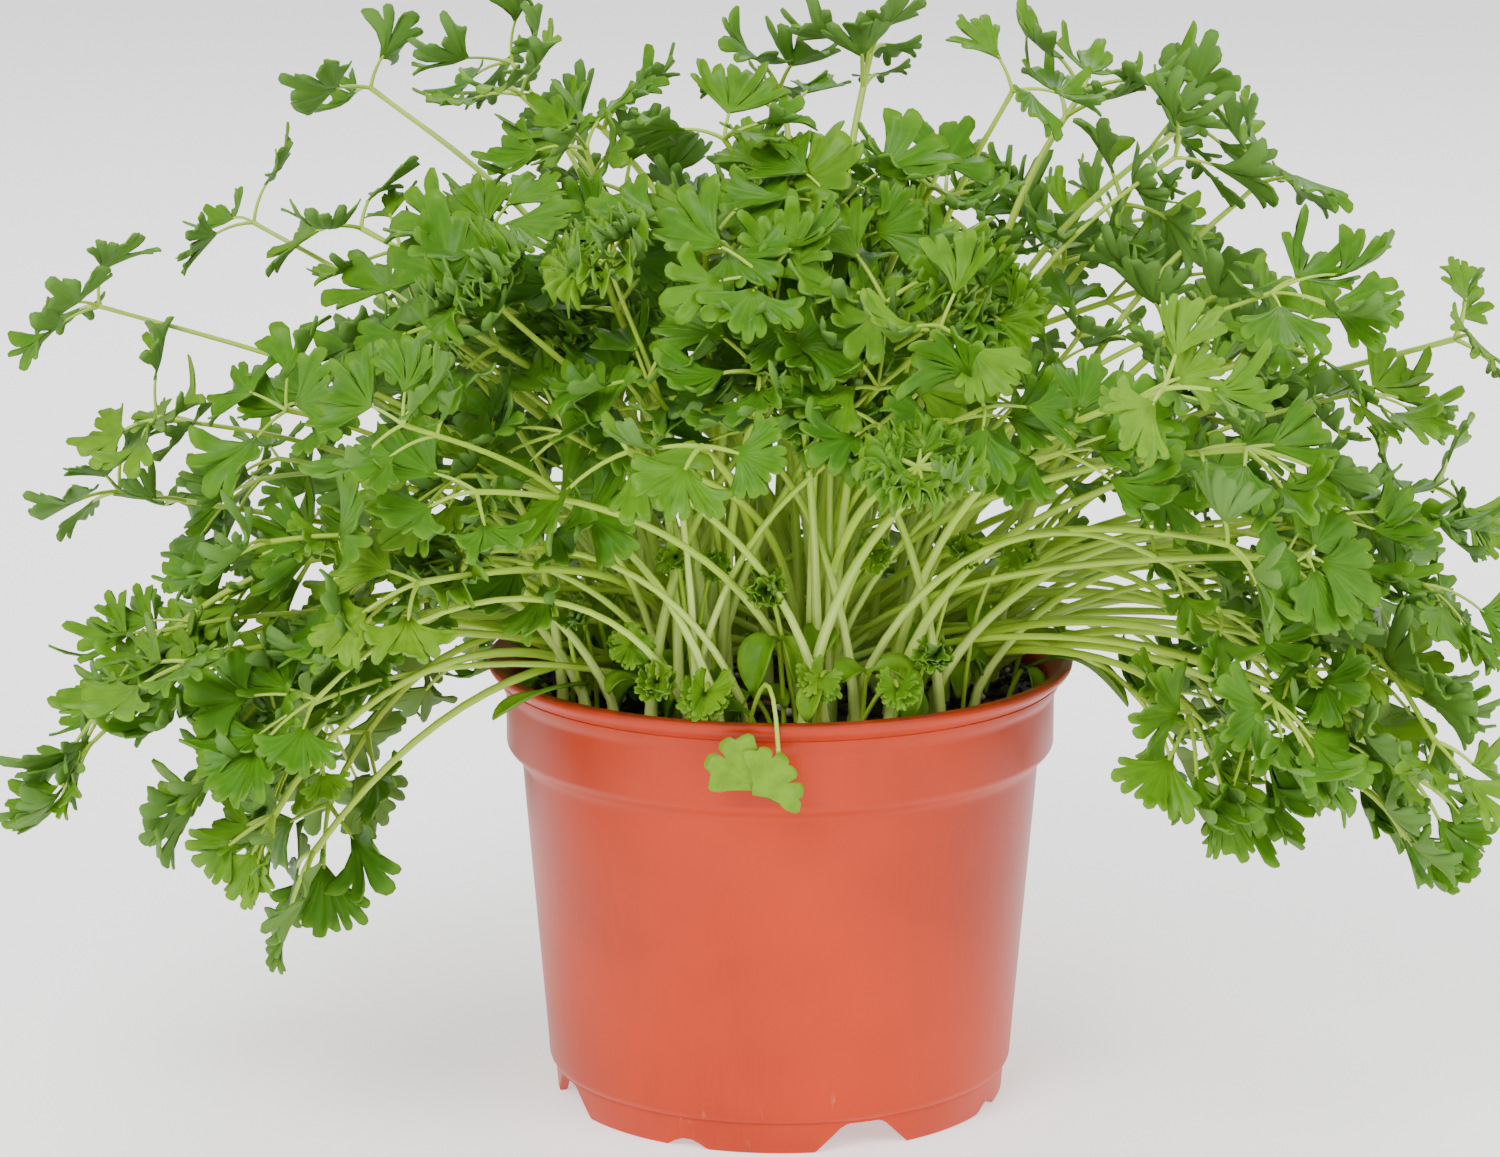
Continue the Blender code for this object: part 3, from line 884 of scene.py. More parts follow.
def scatter(name, draw, count, sizes, stretch, roughness, material, sink):
    """Grains in the compost's surface; sink is the share of a grain that is under it."""
    places, widths, turns, tones = [], [], [], []
    for _ in range(count):
        radius = (SOIL_RADIUS - GRAIN_MARGIN) * sqrt(draw.random())
        angle = draw.uniform(0, 2 * pi)
        size = (sizes[0] + (sizes[1] - sizes[0]) * draw.random() ** 2) * MM
        radius = min(radius, SOIL_RADIUS - 0.6 * size)
        level = soil_level(radius) - 0.2 * MM + size * stretch[2] * (0.5 - sink)
        places.append((radius * cos(angle), radius * sin(angle), level))
        widths.append(size)
        turns.append((draw.uniform(-0.5, 0.5), draw.uniform(-0.5, 0.5), draw.uniform(0, 2 * pi)))
        tones.append(draw.random())
    labels = [f"{name}_form_{i}" for i in range(GRAIN_FORMS)]
    pebbles = [pebble_mesh(label, draw, stretch, roughness) for label in labels]
    forms = form_collection(name, pebbles)
    attributes = {
        "size": ("FLOAT", widths),
        "turn": ("FLOAT_VECTOR", turns),
        "tone": ("FLOAT", tones),
    }
    values = {"Forms": forms, "Material": material, "Seed": draw.randrange(1000)}
    mesh = grown_mesh(name, places, [], attributes, scatter_tree(), values)
    drop_forms(forms)
    return mesh


class OBJECT_OT_parsley_compost(bpy.types.Operator):
    """Fill the pot with compost: the lumpy body, crumbs, perlite grains and bits of bark"""

    bl_idname = "object.parsley_compost"
    bl_label = "Compost"

    def execute(self, context):
        settings = context.scene.parsley_compost
        draw = random.Random(5)
        peat = compost_material(settings)
        body = soil_mesh()
        body.materials.append(peat)
        shade_smooth(body)
        add_piece("compost_body", body, ["soil"])
        chalky = grain_material("expanded_perlite", settings.perlite_colour, 0.55, 0.85, 900.0)
        woody = grain_material("composted_bark", settings.bark_colour, 0.35, 0.8, 500.0)
        # Name, count, sizes in millimetres, stretch, roughness, material, share that is sunk
        for name, *rule in (
            ("crumbs", settings.crumbs, (1.0, 3.2), (1.0, 0.8, 0.6), 0.5, peat, 0.3),
            ("perlite", settings.perlite, (1.2, 3.0), (1.0, 0.85, 0.75), 0.4, chalky, 0.1),
            ("bark", settings.bark, (2.5, 7.0), (1.0, 0.38, 0.26), 0.35, woody, 0.1),
        ):
            add_piece(f"compost_{name}", scatter(name, draw, *rule))
        return {"FINISHED"}


# ---------------------------------------------------------------- how the plant has grown


class Sprig:
    """One stalk and its leaf: the stalk's curve and the way the leaf is held."""

    def __init__(self, name, controls, size, kind, tone, clump):
        self.name = name
        self.controls = controls
        self.size = size
        self.kind = kind
        self.tone = tone
        self.clump = clump
        self.girth = random.Random(name).uniform(0.72, 1.12)  # share of the stalk's set thickness

    def point(self, t):
        a, b, c, d = self.controls
        u = 1.0 - t
        return a * u**3 + b * (3 * u * u * t) + c * (3 * u * t * t) + d * t**3

    def heading(self, t=1.0):
        a, b, c, d = self.controls
        u = 1.0 - t
        slope = (b - a) * (3 * u * u) + (c - b) * (6 * u * t) + (d - c) * (3 * t * t)
        return slope.normalized()


def bezier_controls(base, tip, crest, second_level, bow=0.0):
    """The stalk's rule: up steeply from the base, then over to the tip; bow bends it sideways."""
    level = Vector((tip.x - base.x, tip.y - base.y, 0.0))
    side = Vector((-level.y, level.x, 0.0))
    first = base + level * 0.16 + side * (bow * 0.5)
    first.z = base.z + 0.72 * (crest - base.z)
    second = base + level * 0.68 + side * bow
    second.z = second_level
    return [base, first, second, tip]


CURVE_CHECKS = 40  # steps along a stalk when its height or its way past the lip is tested
MOSSY_SPRIG = 10  # the sprig at the front that is curled up tight
BROAD_SPRIG = 12  # the one at the front right with a wide flat leaf


def frame_sprigs():
    """The sprigs that the frame holds, with their curves read back from the boxes."""
    sprigs = []
    for number, (stalk, leaf) in enumerate(zip(STALK_NODES, LEAF_NODES)):
        low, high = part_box(stalk)
        leaf_low, leaf_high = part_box(leaf)
        centre = (leaf_low + leaf_high) / 2
        azimuth = atan2(centre.x, -centre.y)
        out = outward(azimuth)
        width = 1.2 * MM
        near, far = reach_along(low, high, out)
        base_radius = max(4.0 * MM, near + width)
        base = out * base_radius
        base.z = soil_level(base_radius)
        tip = out * (far - width)
        rising = centre.z > high.z - 4.0 * MM
        tip.z = min(centre.z - 1.0 * MM, high.z - 0.6 * MM)
        if rising:
            second = tip.z - 0.14 * (tip.z - base.z)
            controls = bezier_controls(base, tip, tip.z, second)
        else:
            # The leaf hangs from its node, which is near the top of the leaf's box
            tip.z = min(leaf_high.z - 2.0 * MM, high.z - 3.0 * MM)
            controls = arching_controls(base, tip, high.z - width)
        span_xy = max(leaf_high.x - leaf_low.x, leaf_high.y - leaf_low.y)
        kind = {MOSSY_SPRIG: "curled", BROAD_SPRIG: "broad"}.get(number, "lobed")
        tone = 0.35 + 0.08 * (number % 6)
        sprigs.append(Sprig(stalk[-2:], controls, span_xy / 2, kind, tone, None))
    return sprigs


def arching_controls(base, tip, top):
    """A curve that goes over its tip and just reaches a given height."""
    low, high = 0.0, 0.2
    controls = None
    for _ in range(24):  # halvings
        lift = (low + high) / 2
        controls = bezier_controls(base, tip, tip.z + lift, tip.z + lift)
        curve = Sprig("trial", controls, 0.0, "", 0.0, None)
        if max(curve.point(i / CURVE_CHECKS).z for i in range(CURVE_CHECKS + 1)) < top:
            low = lift
        else:
            high = lift
    return controls


CROWN_HALF = Vector((130.0 * MM, 106.0 * MM, 114.0 * MM))  # half sizes of the leafy dome
SHOULDER = 2.7  # 2 is an ellipsoid, more is boxier
CLUMPS = 17
GOLDEN_ANGLE = 2.39996  # radians between neighbours on a sunflower spiral
HIGHEST_LIFT = 90.0 * MM  # where raising a stalk to clear the lip stops
MOST_TRIES = 9000  # to find places for the sprigs that fill the crown
MOST_ROOM, LEAST_ROOM = 15.0, 6.0  # millimetres between leaf nodes, at first and at last
TRIES_PER_MM = 400.0  # tries after which the room has shrunk by a millimetre


def widest_tilt(azimuth):
    """How far from upright a leaf may hang: low at the sides, high at the front."""
    turn = abs(degrees(azimuth))
    if turn < 26:
        return 56.0
    if turn < 54:
        return 56.0 + 44.0 * (turn - 26) / 28
    if turn < 125:
        return 101.0
    return 94.0


# Sprigs that stand out of the crown: azimuth in degrees, reach and height in millimetres
OUTER_SPRIGS = (
    (-86, 134, 152),
    (-74, 136, 112),
    (-82, 146, 92),
    (-67, 126, 90),
    (-98, 92, 190),
    (-110, 60, 218),
    (-60, 70, 196),
    (-80, 42, 210),
    (-30, 24, 214),
    (-72, 108, 84),
    (40, 48, 206),
    (110, 70, 218),
    (86, 84, 208),
    (96, 104, 200),
    (70, 108, 184),
    (84, 122, 158),
    (88, 136, 132),
    (62, 110, 98),
    (54, 104, 100),
    (66, 148, 94),
    (74, 122, 88),
    (104, 120, 108),
    (180, 60, 214),
    (-150, 80, 204),
)


# Sprigs at the front whose stalks cross: base x and y, then tip x, y and z, then the lift of the
# stalk's last stretch over its tip, all in millimetres
CROSSING_SPRIGS = (
    (16, -44, -14, -40, 168, -20),
    (-28, -44, 0, -48, 166, -20),
    (-46, -30, -60, -50, 154, -12),
    (22, -42, 72, -60, 150, -10),
    (30, -36, 100, -44, 134, 4),
    (-20, -46, 30, -52, 168, -18),
    (4, -48, 50, -56, 162, -12),
    (-34, -38, -98, -46, 132, 6),
    (10, -50, -44, -56, 158, -10),
    (-6, -46, -86, -66, 120, 30),
    (14, -40, 90, -62, 122, 30),
    (-40, -34, -112, -20, 120, 18),
    (40, -28, 112, -24, 116, 18),
    (34, -40, 8, -52, 164, -14),
    (-12, -50, -66, -60, 150, 0),
)


def clump_places(draw):
    """Root clumps spread over the compost on a sunflower spiral."""
    places = []
    for i in range(CLUMPS):
        radius = 50.0 * MM * sqrt((i + 0.4) / CLUMPS)
        angle = i * GOLDEN_ANGLE + draw.uniform(-0.3, 0.3)
        places.append(Vector((radius * cos(angle), radius * sin(angle), 0.0)))
    return places


def clears_lip(sprig):
    """True where the stalk passes over the pot's lip with room to spare."""
    for i in range(CURVE_CHECKS + 1):
        p = sprig.point(i / CURVE_CHECKS)
        radius = sqrt(p.x * p.x + p.y * p.y)
        if SOIL_RADIUS - 4.0 * MM < radius < RIM + 4.0 * MM and p.z < POT_TOP + 3.0 * MM:
            return False
    return True


def rooted(draw, number, tip, clumps, lift, kind, tone):
    """A sprig from one of the root clumps to a tip, raised until it clears the lip."""
    lean = draw.uniform(-0.2, 0.2) if draw.random() < 0.25 else 0.38
    wish = Vector((tip.x * lean, tip.y * (lean + 0.05), 0.0))
    order = sorted(range(CLUMPS), key=lambda k: (clumps[k] - wish).length)
    clump = order[0] if draw.random() < 0.55 else order[draw.randint(1, 3)]
    turn = draw.uniform(0, 2 * pi)
    base = clumps[clump] + Vector((cos(turn), sin(turn), 0.0)) * (4.0 * MM * sqrt(draw.random()))
    base.z = soil_level(base.length)
    bow = draw.uniform(-0.22, 0.22)
    size = draw.uniform(15.0, 19.5) * MM
    while True:
        second = tip.z + lift
        controls = bezier_controls(base, tip, max(tip.z, second), second, bow)
        sprig = Sprig(f"f{number:03d}", controls, size, kind, tone, clump)
        if clears_lip(sprig) or lift > HIGHEST_LIFT:
            return sprig
        lift += 6.0 * MM


def fill_sprigs(settings, taken):
    """Sprigs that stand out of the crown and those that fill it, between the frame's own."""
    draw = random.Random(settings.seed)
    clumps = clump_places(draw)
    tips = [sprig.point(1.0) for sprig in taken]
    made = []
    for azimuth, reach, height in OUTER_SPRIGS:
        tip = outward(radians(azimuth)) * reach * MM
        tip.z = height * MM
        if height < 100:
            lift = 0.36 * reach * MM
        else:
            lift = -0.12 * (tip.z - SOIL_TOP)
        tone = draw.uniform(0.35, 0.8)
        made.append(rooted(draw, len(made), tip, clumps, lift, "lobed", tone))
        tips.append(tip)
    for base_x, base_y, *tip, lift in CROSSING_SPRIGS:
        tip = Vector(tip) * MM
        base = Vector((base_x, base_y, 0.0)) * MM
        clump = min(range(CLUMPS), key=lambda k: (clumps[k] - base).length)
        base.z = soil_level(base.length)
        second = tip.z + lift * MM
        controls = bezier_controls(base, tip, max(tip.z, second), second, draw.uniform(-0.1, 0.1))
        name = f"f{len(made):03d}"
        made.append(Sprig(name, controls, 14.0 * MM, "lobed", draw.uniform(0.4, 0.9), clump))
        tips.append(tip)
    tries = 0
    while len(made) < settings.fill_sprigs and tries < MOST_TRIES:
        tries += 1
        azimuth = draw.uniform(-pi, pi)
        tilt = radians(widest_tilt(azimuth)) * draw.random() ** 0.6
        depth = 0.56 + 0.44 * draw.random() ** 0.6
        way = outward(azimuth) * sin(tilt) + Vector((0.0, 0.0, cos(tilt)))
        # A dome with full shoulders: flatter on top and at the sides than an ellipsoid
        boxy = sum(abs(c) ** SHOULDER for c in way) ** (-1.0 / SHOULDER)
        half = CROWN_HALF * depth * boxy
        tip = Vector((way.x * half.x, way.y * half.y, SOIL_TOP + way.z * half.z))
        tip.x *= 1.04 if tip.x > 0 else 0.93
        if cos(tilt) < 0.25:
            tip.z += draw.uniform(-8, 12) * MM
        room = max(LEAST_ROOM, MOST_ROOM - tries / TRIES_PER_MM) * MM
        if any((tip - other).length < room for other in tips):
            continue
        central = abs(tip.x) < 85 * MM and tip.z > 0.13
        kind = "curled" if central and draw.random() < 0.24 else "lobed"
        # Painted shade: the leaflets and stalks of sprigs deep inside the crown get a darker tone
        tone = min(1.0, max(0.0, draw.gauss(0.22 + 0.34 * depth, 0.2)))
        lift = (0.12 - 0.3 * cos(tilt)) * tip.length * 0.9
        made.append(rooted(draw, len(made), tip, clumps, lift, kind, tone))
        tips.append(tip)
    return made


def whole_plant(context):
    """Every sprig: those of the frame first, then those that fill the crown."""
    settings = context.scene.parsley_plant
    grown = frame_sprigs()
    return grown, fill_sprigs(settings, grown)


# ---------------------------------------------------------------- forks


class Branch:
    """A short branch from a stalk's node to the base of one leaflet."""

    def __init__(self, start, bend, end, along, face, size, form, tone):
        self.start = start
        self.bend = bend
        self.end = end
        self.along = along
        self.face = face
        self.size = size
        self.form = form
        self.tone = tone


# Numbers of the leaflet forms of each kind, in the order that leaflet_forms makes them
LOBED_FORMS = tuple(range(0, 9))
BROAD_FORMS = tuple(range(9, 11))
CURLED_FORMS = tuple(range(11, 15))


def leaflet_branch(draw, sprig, start, way, up, turned, share, size, forms):
    """One branch from a point on the stalk, with its leaflet's size, turn and tone."""
    length = sprig.size * share
    end = start + way * length
    end.z -= length * 0.1
    bend = start + way * length * 0.5 + up * length * draw.uniform(0.02, 0.14)
    droop = Vector((0, 0, -1)) * draw.uniform(0.0, 0.42)
    along = (turned * 0.9 + way * 0.5 + droop).normalized()
    tilt = Vector((draw.gauss(0, 1), draw.gauss(0, 1), draw.gauss(0, 1))) * 0.3
    face = up + tilt
    face = (face - along * face.dot(along)).normalized()
    tone = min(1.0, max(0.0, sprig.tone + draw.uniform(-0.12, 0.12)))
    return Branch(start, bend, end, along, face, size, draw.choice(forms), tone)


def fork(sprig):
    """The branches of one sprig, fanned about its node and each ending in a leaflet."""
    draw = random.Random(f"fork {sprig.name}")
    node = sprig.point(1.0)
    heading = sprig.heading()
    away = Vector((node.x, node.y, 0.45 * (node.z - SOIL_TOP)))
    if away.length < 1.0 * MM:
        away = Vector((0.0, 0.0, 1.0))
    wander = Vector((draw.gauss(0, 1), draw.gauss(0, 1), draw.gauss(0, 1)))
    up = (away.normalized() * 0.75 + Vector((0, 0, 0.62)) + wander * 0.26).normalized()
    flat = heading - up * heading.dot(up)
    upright = abs(heading.dot(up)) > 0.72
    if flat.length < 0.2:
        flat = up.orthogonal()
    flat.normalize()
    rise = 0.62 if upright else 0.24
    forms = LOBED_FORMS
    big = (0.8, 1.0)
    if sprig.kind == "curled":
        angles = [a + draw.uniform(-14, 14) for a in (-150, -104, -56, -12, 34, 80, 126, 170)]
        lengths = [draw.uniform(0.14, 0.5) for _ in angles]
        rise, forms, big = 0.7, CURLED_FORMS, (0.46, 0.62)
    elif sprig.kind == "broad":
        angles = [-104, -34, 32, 100]
        lengths = [0.14, 0.16, 0.16, 0.14]
        rise, forms, big = 0.1, BROAD_FORMS, (0.86, 1.0)
    elif upright:
        start = draw.uniform(0, 120)
        angles = [start + a + draw.uniform(-16, 16) for a in (0, 118, 238)]
        if draw.random() < 0.6:
            angles.append(start + 60)
        lengths = [draw.uniform(0.42, 0.7) for _ in angles]
    else:
        angles = [draw.uniform(-82, -62), draw.uniform(-14, 14), draw.uniform(60, 84)]
        lengths = [draw.uniform(0.4, 0.6), draw.uniform(0.55, 0.8), draw.uniform(0.4, 0.6)]
        if draw.random() < 0.45:
            angles += [draw.uniform(-44, -32), draw.uniform(30, 46)]
            lengths += [draw.uniform(0.75, 0.95), draw.uniform(0.7, 0.9)]
    branches = []
    for angle, share in zip(angles, lengths):
        turned = flat.copy()
        turned.rotate(Matrix.Rotation(radians(angle), 3, up))
        way = (turned + heading * rise + up * draw.uniform(-0.12, 0.3)).normalized()
        size = sprig.size * draw.uniform(*big)
        branches.append(
            leaflet_branch(draw, sprig, node, way, up, turned, share, size, forms)
        )
    if sprig.kind == "lobed" and draw.random() < 0.6:
        # A lower pair, set back along the stalk
        back = draw.uniform(0.86, 0.92)
        start, run = sprig.point(back), sprig.heading(back)
        across = run.cross(up).normalized()
        for side in (-1, 1):
            turned = (across * side + run * draw.uniform(0.1, 0.6)).normalized()
            way = (turned + run * 0.35 + up * draw.uniform(-0.1, 0.3)).normalized()
            size = sprig.size * draw.uniform(0.66, 0.86)
            share = draw.uniform(0.45, 0.7)
            branches.append(
                leaflet_branch(draw, sprig, start, way, up, turned, share, size, forms)
            )
    return branches


# ---------------------------------------------------------------- stalks


STALK_POINTS = 18
BRANCH_POINTS = 5
STALK_SIDES = 8
STALK_SUNK = 5.0 * MM  # how far every stalk goes on under the compost's surface


def stalk_paths(sprig, thickness):
    """Rows of (points, radii, along) for the stalk and its branches."""
    thickness *= sprig.girth
    shares = [i / STALK_POINTS for i in range(STALK_POINTS + 1)]
    points = [sprig.point(t) for t in shares]
    radii = [thickness * (1.0 - 0.42 * t + 0.5 * (1 - t) ** 14) for t in shares]
    points[0] = points[0] - Vector((0.0, 0.0, STALK_SUNK))
    radii[-1] *= 1.18  # the node is a little swollen
    rows = [(points, radii, shares)]
    shares = [i / BRANCH_POINTS for i in range(BRANCH_POINTS + 1)]
    radii = [thickness * (0.5 - 0.16 * t) for t in shares]
    along = [0.9 + 0.1 * t for t in shares]
    for branch in fork(sprig):
        tail = branch.end + branch.along * 1.2 * MM
        points = [bent(branch.start, branch.bend, tail, t) for t in shares]
        rows.append((points, radii, along))
    return rows


def stalk_tree():
    """Geometry tree: sweep a round section along every edge path, storing how far round it each
    point lies.
    """
    tree, given = new_tree(
        "sweep_stalks",
        [
            ("Geometry", "NodeSocketGeometry", None),
            ("Material", "NodeSocketMaterial", None),
            ("Sides", "NodeSocketInt", STALK_SIDES),
        ],
    )
    thickness = add_node(
        tree, "GeometryNodeInputNamedAttribute", {"Name": "thickness"}, data_type="FLOAT"
    )
    path = add_node(tree, "GeometryNodeMeshToCurve", {0: given.outputs["Geometry"]})
    ring = add_node(
        tree,
        "GeometryNodeCurvePrimitiveCircle",
        {0: given.outputs["Sides"], 4: 1.0},
        mode="RADIUS",
    )
    factor = add_node(tree, "GeometryNodeSplineParameter")
    section = add_node(
        tree,
        "GeometryNodeStoreNamedAttribute",
        {0: ring, 2: "around", 3: factor.outputs["Factor"]},
        data_type="FLOAT",
        domain="POINT",
    )
    tube = add_node(tree, "GeometryNodeCurveToMesh", {0: path, 1: section, 2: thickness, 3: True})
    smooth = add_node(tree, "GeometryNodeSetShadeSmooth", {0: tube, 2: True})
    finish_tree(tree, smooth, given.outputs["Material"])
    return tree


def swept_mesh(name, paths, tree, material):
    """Stems as one mesh, from paths of (points, radii, shares along the stalk, tone)."""
    points, edges, radii, along, tones = [], [], [], [], []
    for row, widths, shares, tone in paths:
        first = len(points)
        points += [tuple(p) for p in row]
        edges += [(first + i, first + i + 1) for i in range(len(row) - 1)]
        radii += widths
        along += shares
        tones += [tone] * len(row)
    attributes = {
        "thickness": ("FLOAT", radii),
        "along": ("FLOAT", along),
        "tone": ("FLOAT", tones),
    }
    values = {"Material": material, "Sides": STALK_SIDES}
    return grown_mesh(name, points, edges, attributes, tree, values)


def stalk_mesh(name, sprigs, thickness, tree, material):
    paths = [(*row, sprig.tone) for sprig in sprigs for row in stalk_paths(sprig, thickness)]
    return swept_mesh(name, paths, tree, material)


def by_clump(sprigs):
    groups = {}
    for sprig in sprigs:
        groups.setdefault(sprig.clump, []).append(sprig)
    return sorted(groups.items())


class OBJECT_OT_parsley_stalks(bpy.types.Operator):
    """Grow the stalks and the forks at their ends"""

    bl_idname = "object.parsley_stalks"
    bl_label = "Stalks"

    def execute(self, context):
        settings = context.scene.parsley_plant
        framed, filling = whole_plant(context)
        material = stalk_material(settings)
        tree = stalk_tree()
        thickness = settings.stalk_thickness
        for sprig in framed:
            mesh = stalk_mesh("stalk", [sprig], thickness, tree, material)
            add_piece(f"ribbed_stalk_{sprig.name}", mesh, [f"stalk_{sprig.name}"])
        for clump, sprigs in by_clump(filling):
            mesh = stalk_mesh("stalks", sprigs, thickness, tree, material)
            add_piece(f"inner_stalks_{clump + 1:02d}", mesh)
        return {"FINISHED"}


# ---------------------------------------------------------------- leaves


BLADE = 0.028  # blade thickness as a share of the leaflet's length


TOOTH_STEPS = (0.0, 0.13, 0.3, 0.5, 0.7, 0.87)  # shares of a tooth's width
FINE_TOOTH_STEPS = (0.0, 0.22, 0.5, 0.78)  # the same for the small teeth of a curled leaflet
FINE_TEETH = 14  # a leaflet with more teeth than this has small ones


def tooth_steps(lobes, teeth):
    return FINE_TOOTH_STEPS if lobes * teeth > FINE_TEETH else TOOTH_STEPS


def tooth_columns(draw, lobes, teeth, half_angle, cleft, notch):
    """Columns across a leaflet: angle from the midrib, rim distance, distance from a vein."""
    total = lobes * teeth
    bounds, depths = [], []
    for k in range(total + 1):
        share = 2.0 * k / total - 1.0
        bounds.append(radians(half_angle) * share)
        depth = cleft if k % teeth == 0 else notch
        outer = 0.84 + 0.16 * cos(share * pi * 0.5)
        depths.append(outer * min(0.95, depth * draw.uniform(0.9, 1.1)))
    depths[0] = depths[-1] = 0.66
    columns = []
    for k in range(total):
        share = (2.0 * k + 1.0) / total - 1.0
        from_middle = abs((k % teeth) - (teeth - 1) / 2)
        tip = (0.84 + 0.16 * cos(share * pi * 0.5)) * (1.0 - 0.09 * from_middle)
        tip *= draw.uniform(0.92, 1.07)
        for u in tooth_steps(lobes, teeth):
            bottom = depths[k] + (depths[k + 1] - depths[k]) * u
            bulge = sqrt(max(0.0, 1.0 - abs(2 * u - 1) ** 3))
            rim = bottom + (max(tip, bottom + 0.02) - bottom) * bulge
            angle = bounds[k] + (bounds[k + 1] - bounds[k]) * u
            columns.append((angle, rim, abs(2 * u - 1)))
    columns.append((bounds[-1], depths[-1], 1.0))
    return columns


def leaflet_mesh(name, seed, lobes, teeth, half_angle, cleft, notch, shape):
    """A closed thin fan: base at the origin, midrib along +Y, face to +Z, length about 1.

    shape is (cup, roll, fold, ruffle, curl): how much the fan dishes, rolls its sides up, folds
    at the teeth, ruffles round the rim and curls its single teeth.
    """
    draw = random.Random(seed)
    cup, roll, fold, ruffle, curl = shape
    columns = tooth_columns(draw, lobes, teeth, half_angle, cleft, notch)
    rows = (0.34, 0.68, 0.87, 1.0)
    bends = [draw.uniform(-1, 1) * curl for _ in range(lobes * teeth)]
    lobe_lift = [draw.uniform(-1, 1) * curl * 0.6 for _ in range(lobes)]
    phase = draw.uniform(0, 2 * pi)
    waves = 2.2 * lobes + 1.1

    def place(angle, distance, vein, tooth):
        # The base is drawn out into a wedge, so that its sides are hollow curves
        angle *= 0.6 + 0.4 * min(1.0, distance / 0.72)
        lift = cup * distance**2 + roll * (sin(angle) * distance) ** 2
        lift += 1.8 * fold * vein * max(0.0, distance - 0.4) ** 1.2
        lift += ruffle * distance**2.2 * sin(waves * angle + phase)
        lift += bends[tooth] * max(0.0, distance - 0.6) ** 2 * 2.4
        lift += lobe_lift[tooth // teeth] * max(0.0, distance - 0.35) ** 2
        shrink = 1.0 / sqrt(1.0 + (0.8 * lift / max(distance, 0.2)) ** 2)
        return Vector((sin(angle) * distance * shrink, cos(angle) * distance * shrink, lift))

    spread = radians(half_angle) / (lobes * teeth)
    grid, veins, edges = [], [], []
    for i, (angle, rim, vein) in enumerate(columns):
        tooth = min(i // len(tooth_steps(lobes, teeth)), lobes * teeth - 1)
        column = []
        for row in rows:
            distance = rim * row
            # Near the base the fold eases off, so the leaflet starts as one blade
            column.append(place(angle, distance, vein * min(1.0, distance / 0.5), tooth))
            veins.append(vein * spread * distance)
            edges.append(row)
        grid.append(column)
    return thin_blade(name, grid, veins, edges)


def thin_blade(name, grid, veins, edges):
    """A closed blade from columns of points that all start at one base point."""
    pole = Vector((0.0, 0.0, 0.0))
    count = len(grid[0])
    top = [pole] + [p for column in grid for p in column]
    normals = [Vector((0.0, 0.0, 1.0))]
    for i in range(len(grid)):
        before, after = grid[max(0, i - 1)], grid[min(len(grid) - 1, i + 1)]
        for r in range(count):
            inner = grid[i][r - 1] if r else pole
            normal = (after[r] - before[r]).cross(grid[i][r] - inner)
            if normal.z < 0:
                normal.negate()
            normals.append(normal.normalized() if normal.length > 1e-9 else normals[0])
    half = BLADE / 2
    verts = [p + n * half for p, n in zip(top, normals)]
    verts += [p - n * half for p, n in zip(top, normals)]
    size = len(top)

    def index(i, r):
        return 1 + i * count + r

    faces = []
    for i in range(len(grid) - 1):
        faces.append((0, index(i + 1, 0), index(i, 0)))
        for r in range(count - 1):
            faces.append((index(i, r), index(i + 1, r), index(i + 1, r + 1), index(i, r + 1)))
    outline = [0] + [index(0, r) for r in range(count)]
    outline += [index(i, count - 1) for i in range(1, len(grid))]
    outline += [index(len(grid) - 1, r) for r in range(count - 2, -1, -1)]
    attributes = {
        "vein": ([0.0] + veins) * 2,
        "edge": ([0.0] + edges) * 2,
        "under": [0.0] * size + [1.0] * size,
    }
    return blade_faces_mesh(name, verts, both_sheets(size, faces, outline), attributes)


def both_sheets(size, faces, outline):
    """Faces of an upper sheet of so many points, the lower one after it, and the rim between."""
    faces = faces + [tuple(size + v for v in reversed(face)) for face in faces]
    for a, b in zip(outline, outline[1:] + outline[:1]):
        faces.append((a, b, size + b, size + a))
    return faces


def blade_faces_mesh(name, verts, faces, attributes):
    """A closed blade, or several, as a smooth mesh with the leaf's attributes."""
    mesh = bpy.data.meshes.new(name)
    mesh.from_pydata([tuple(v) for v in verts], [], faces)
    bm = bmesh.new()
    bm.from_mesh(mesh)
    bmesh.ops.recalc_face_normals(bm, faces=bm.faces[:])
    bm.to_mesh(mesh)
    bm.free()
    for label, values in attributes.items():
        set_attribute(mesh, label, "FLOAT", values)
    shade_smooth(mesh)
    return mesh


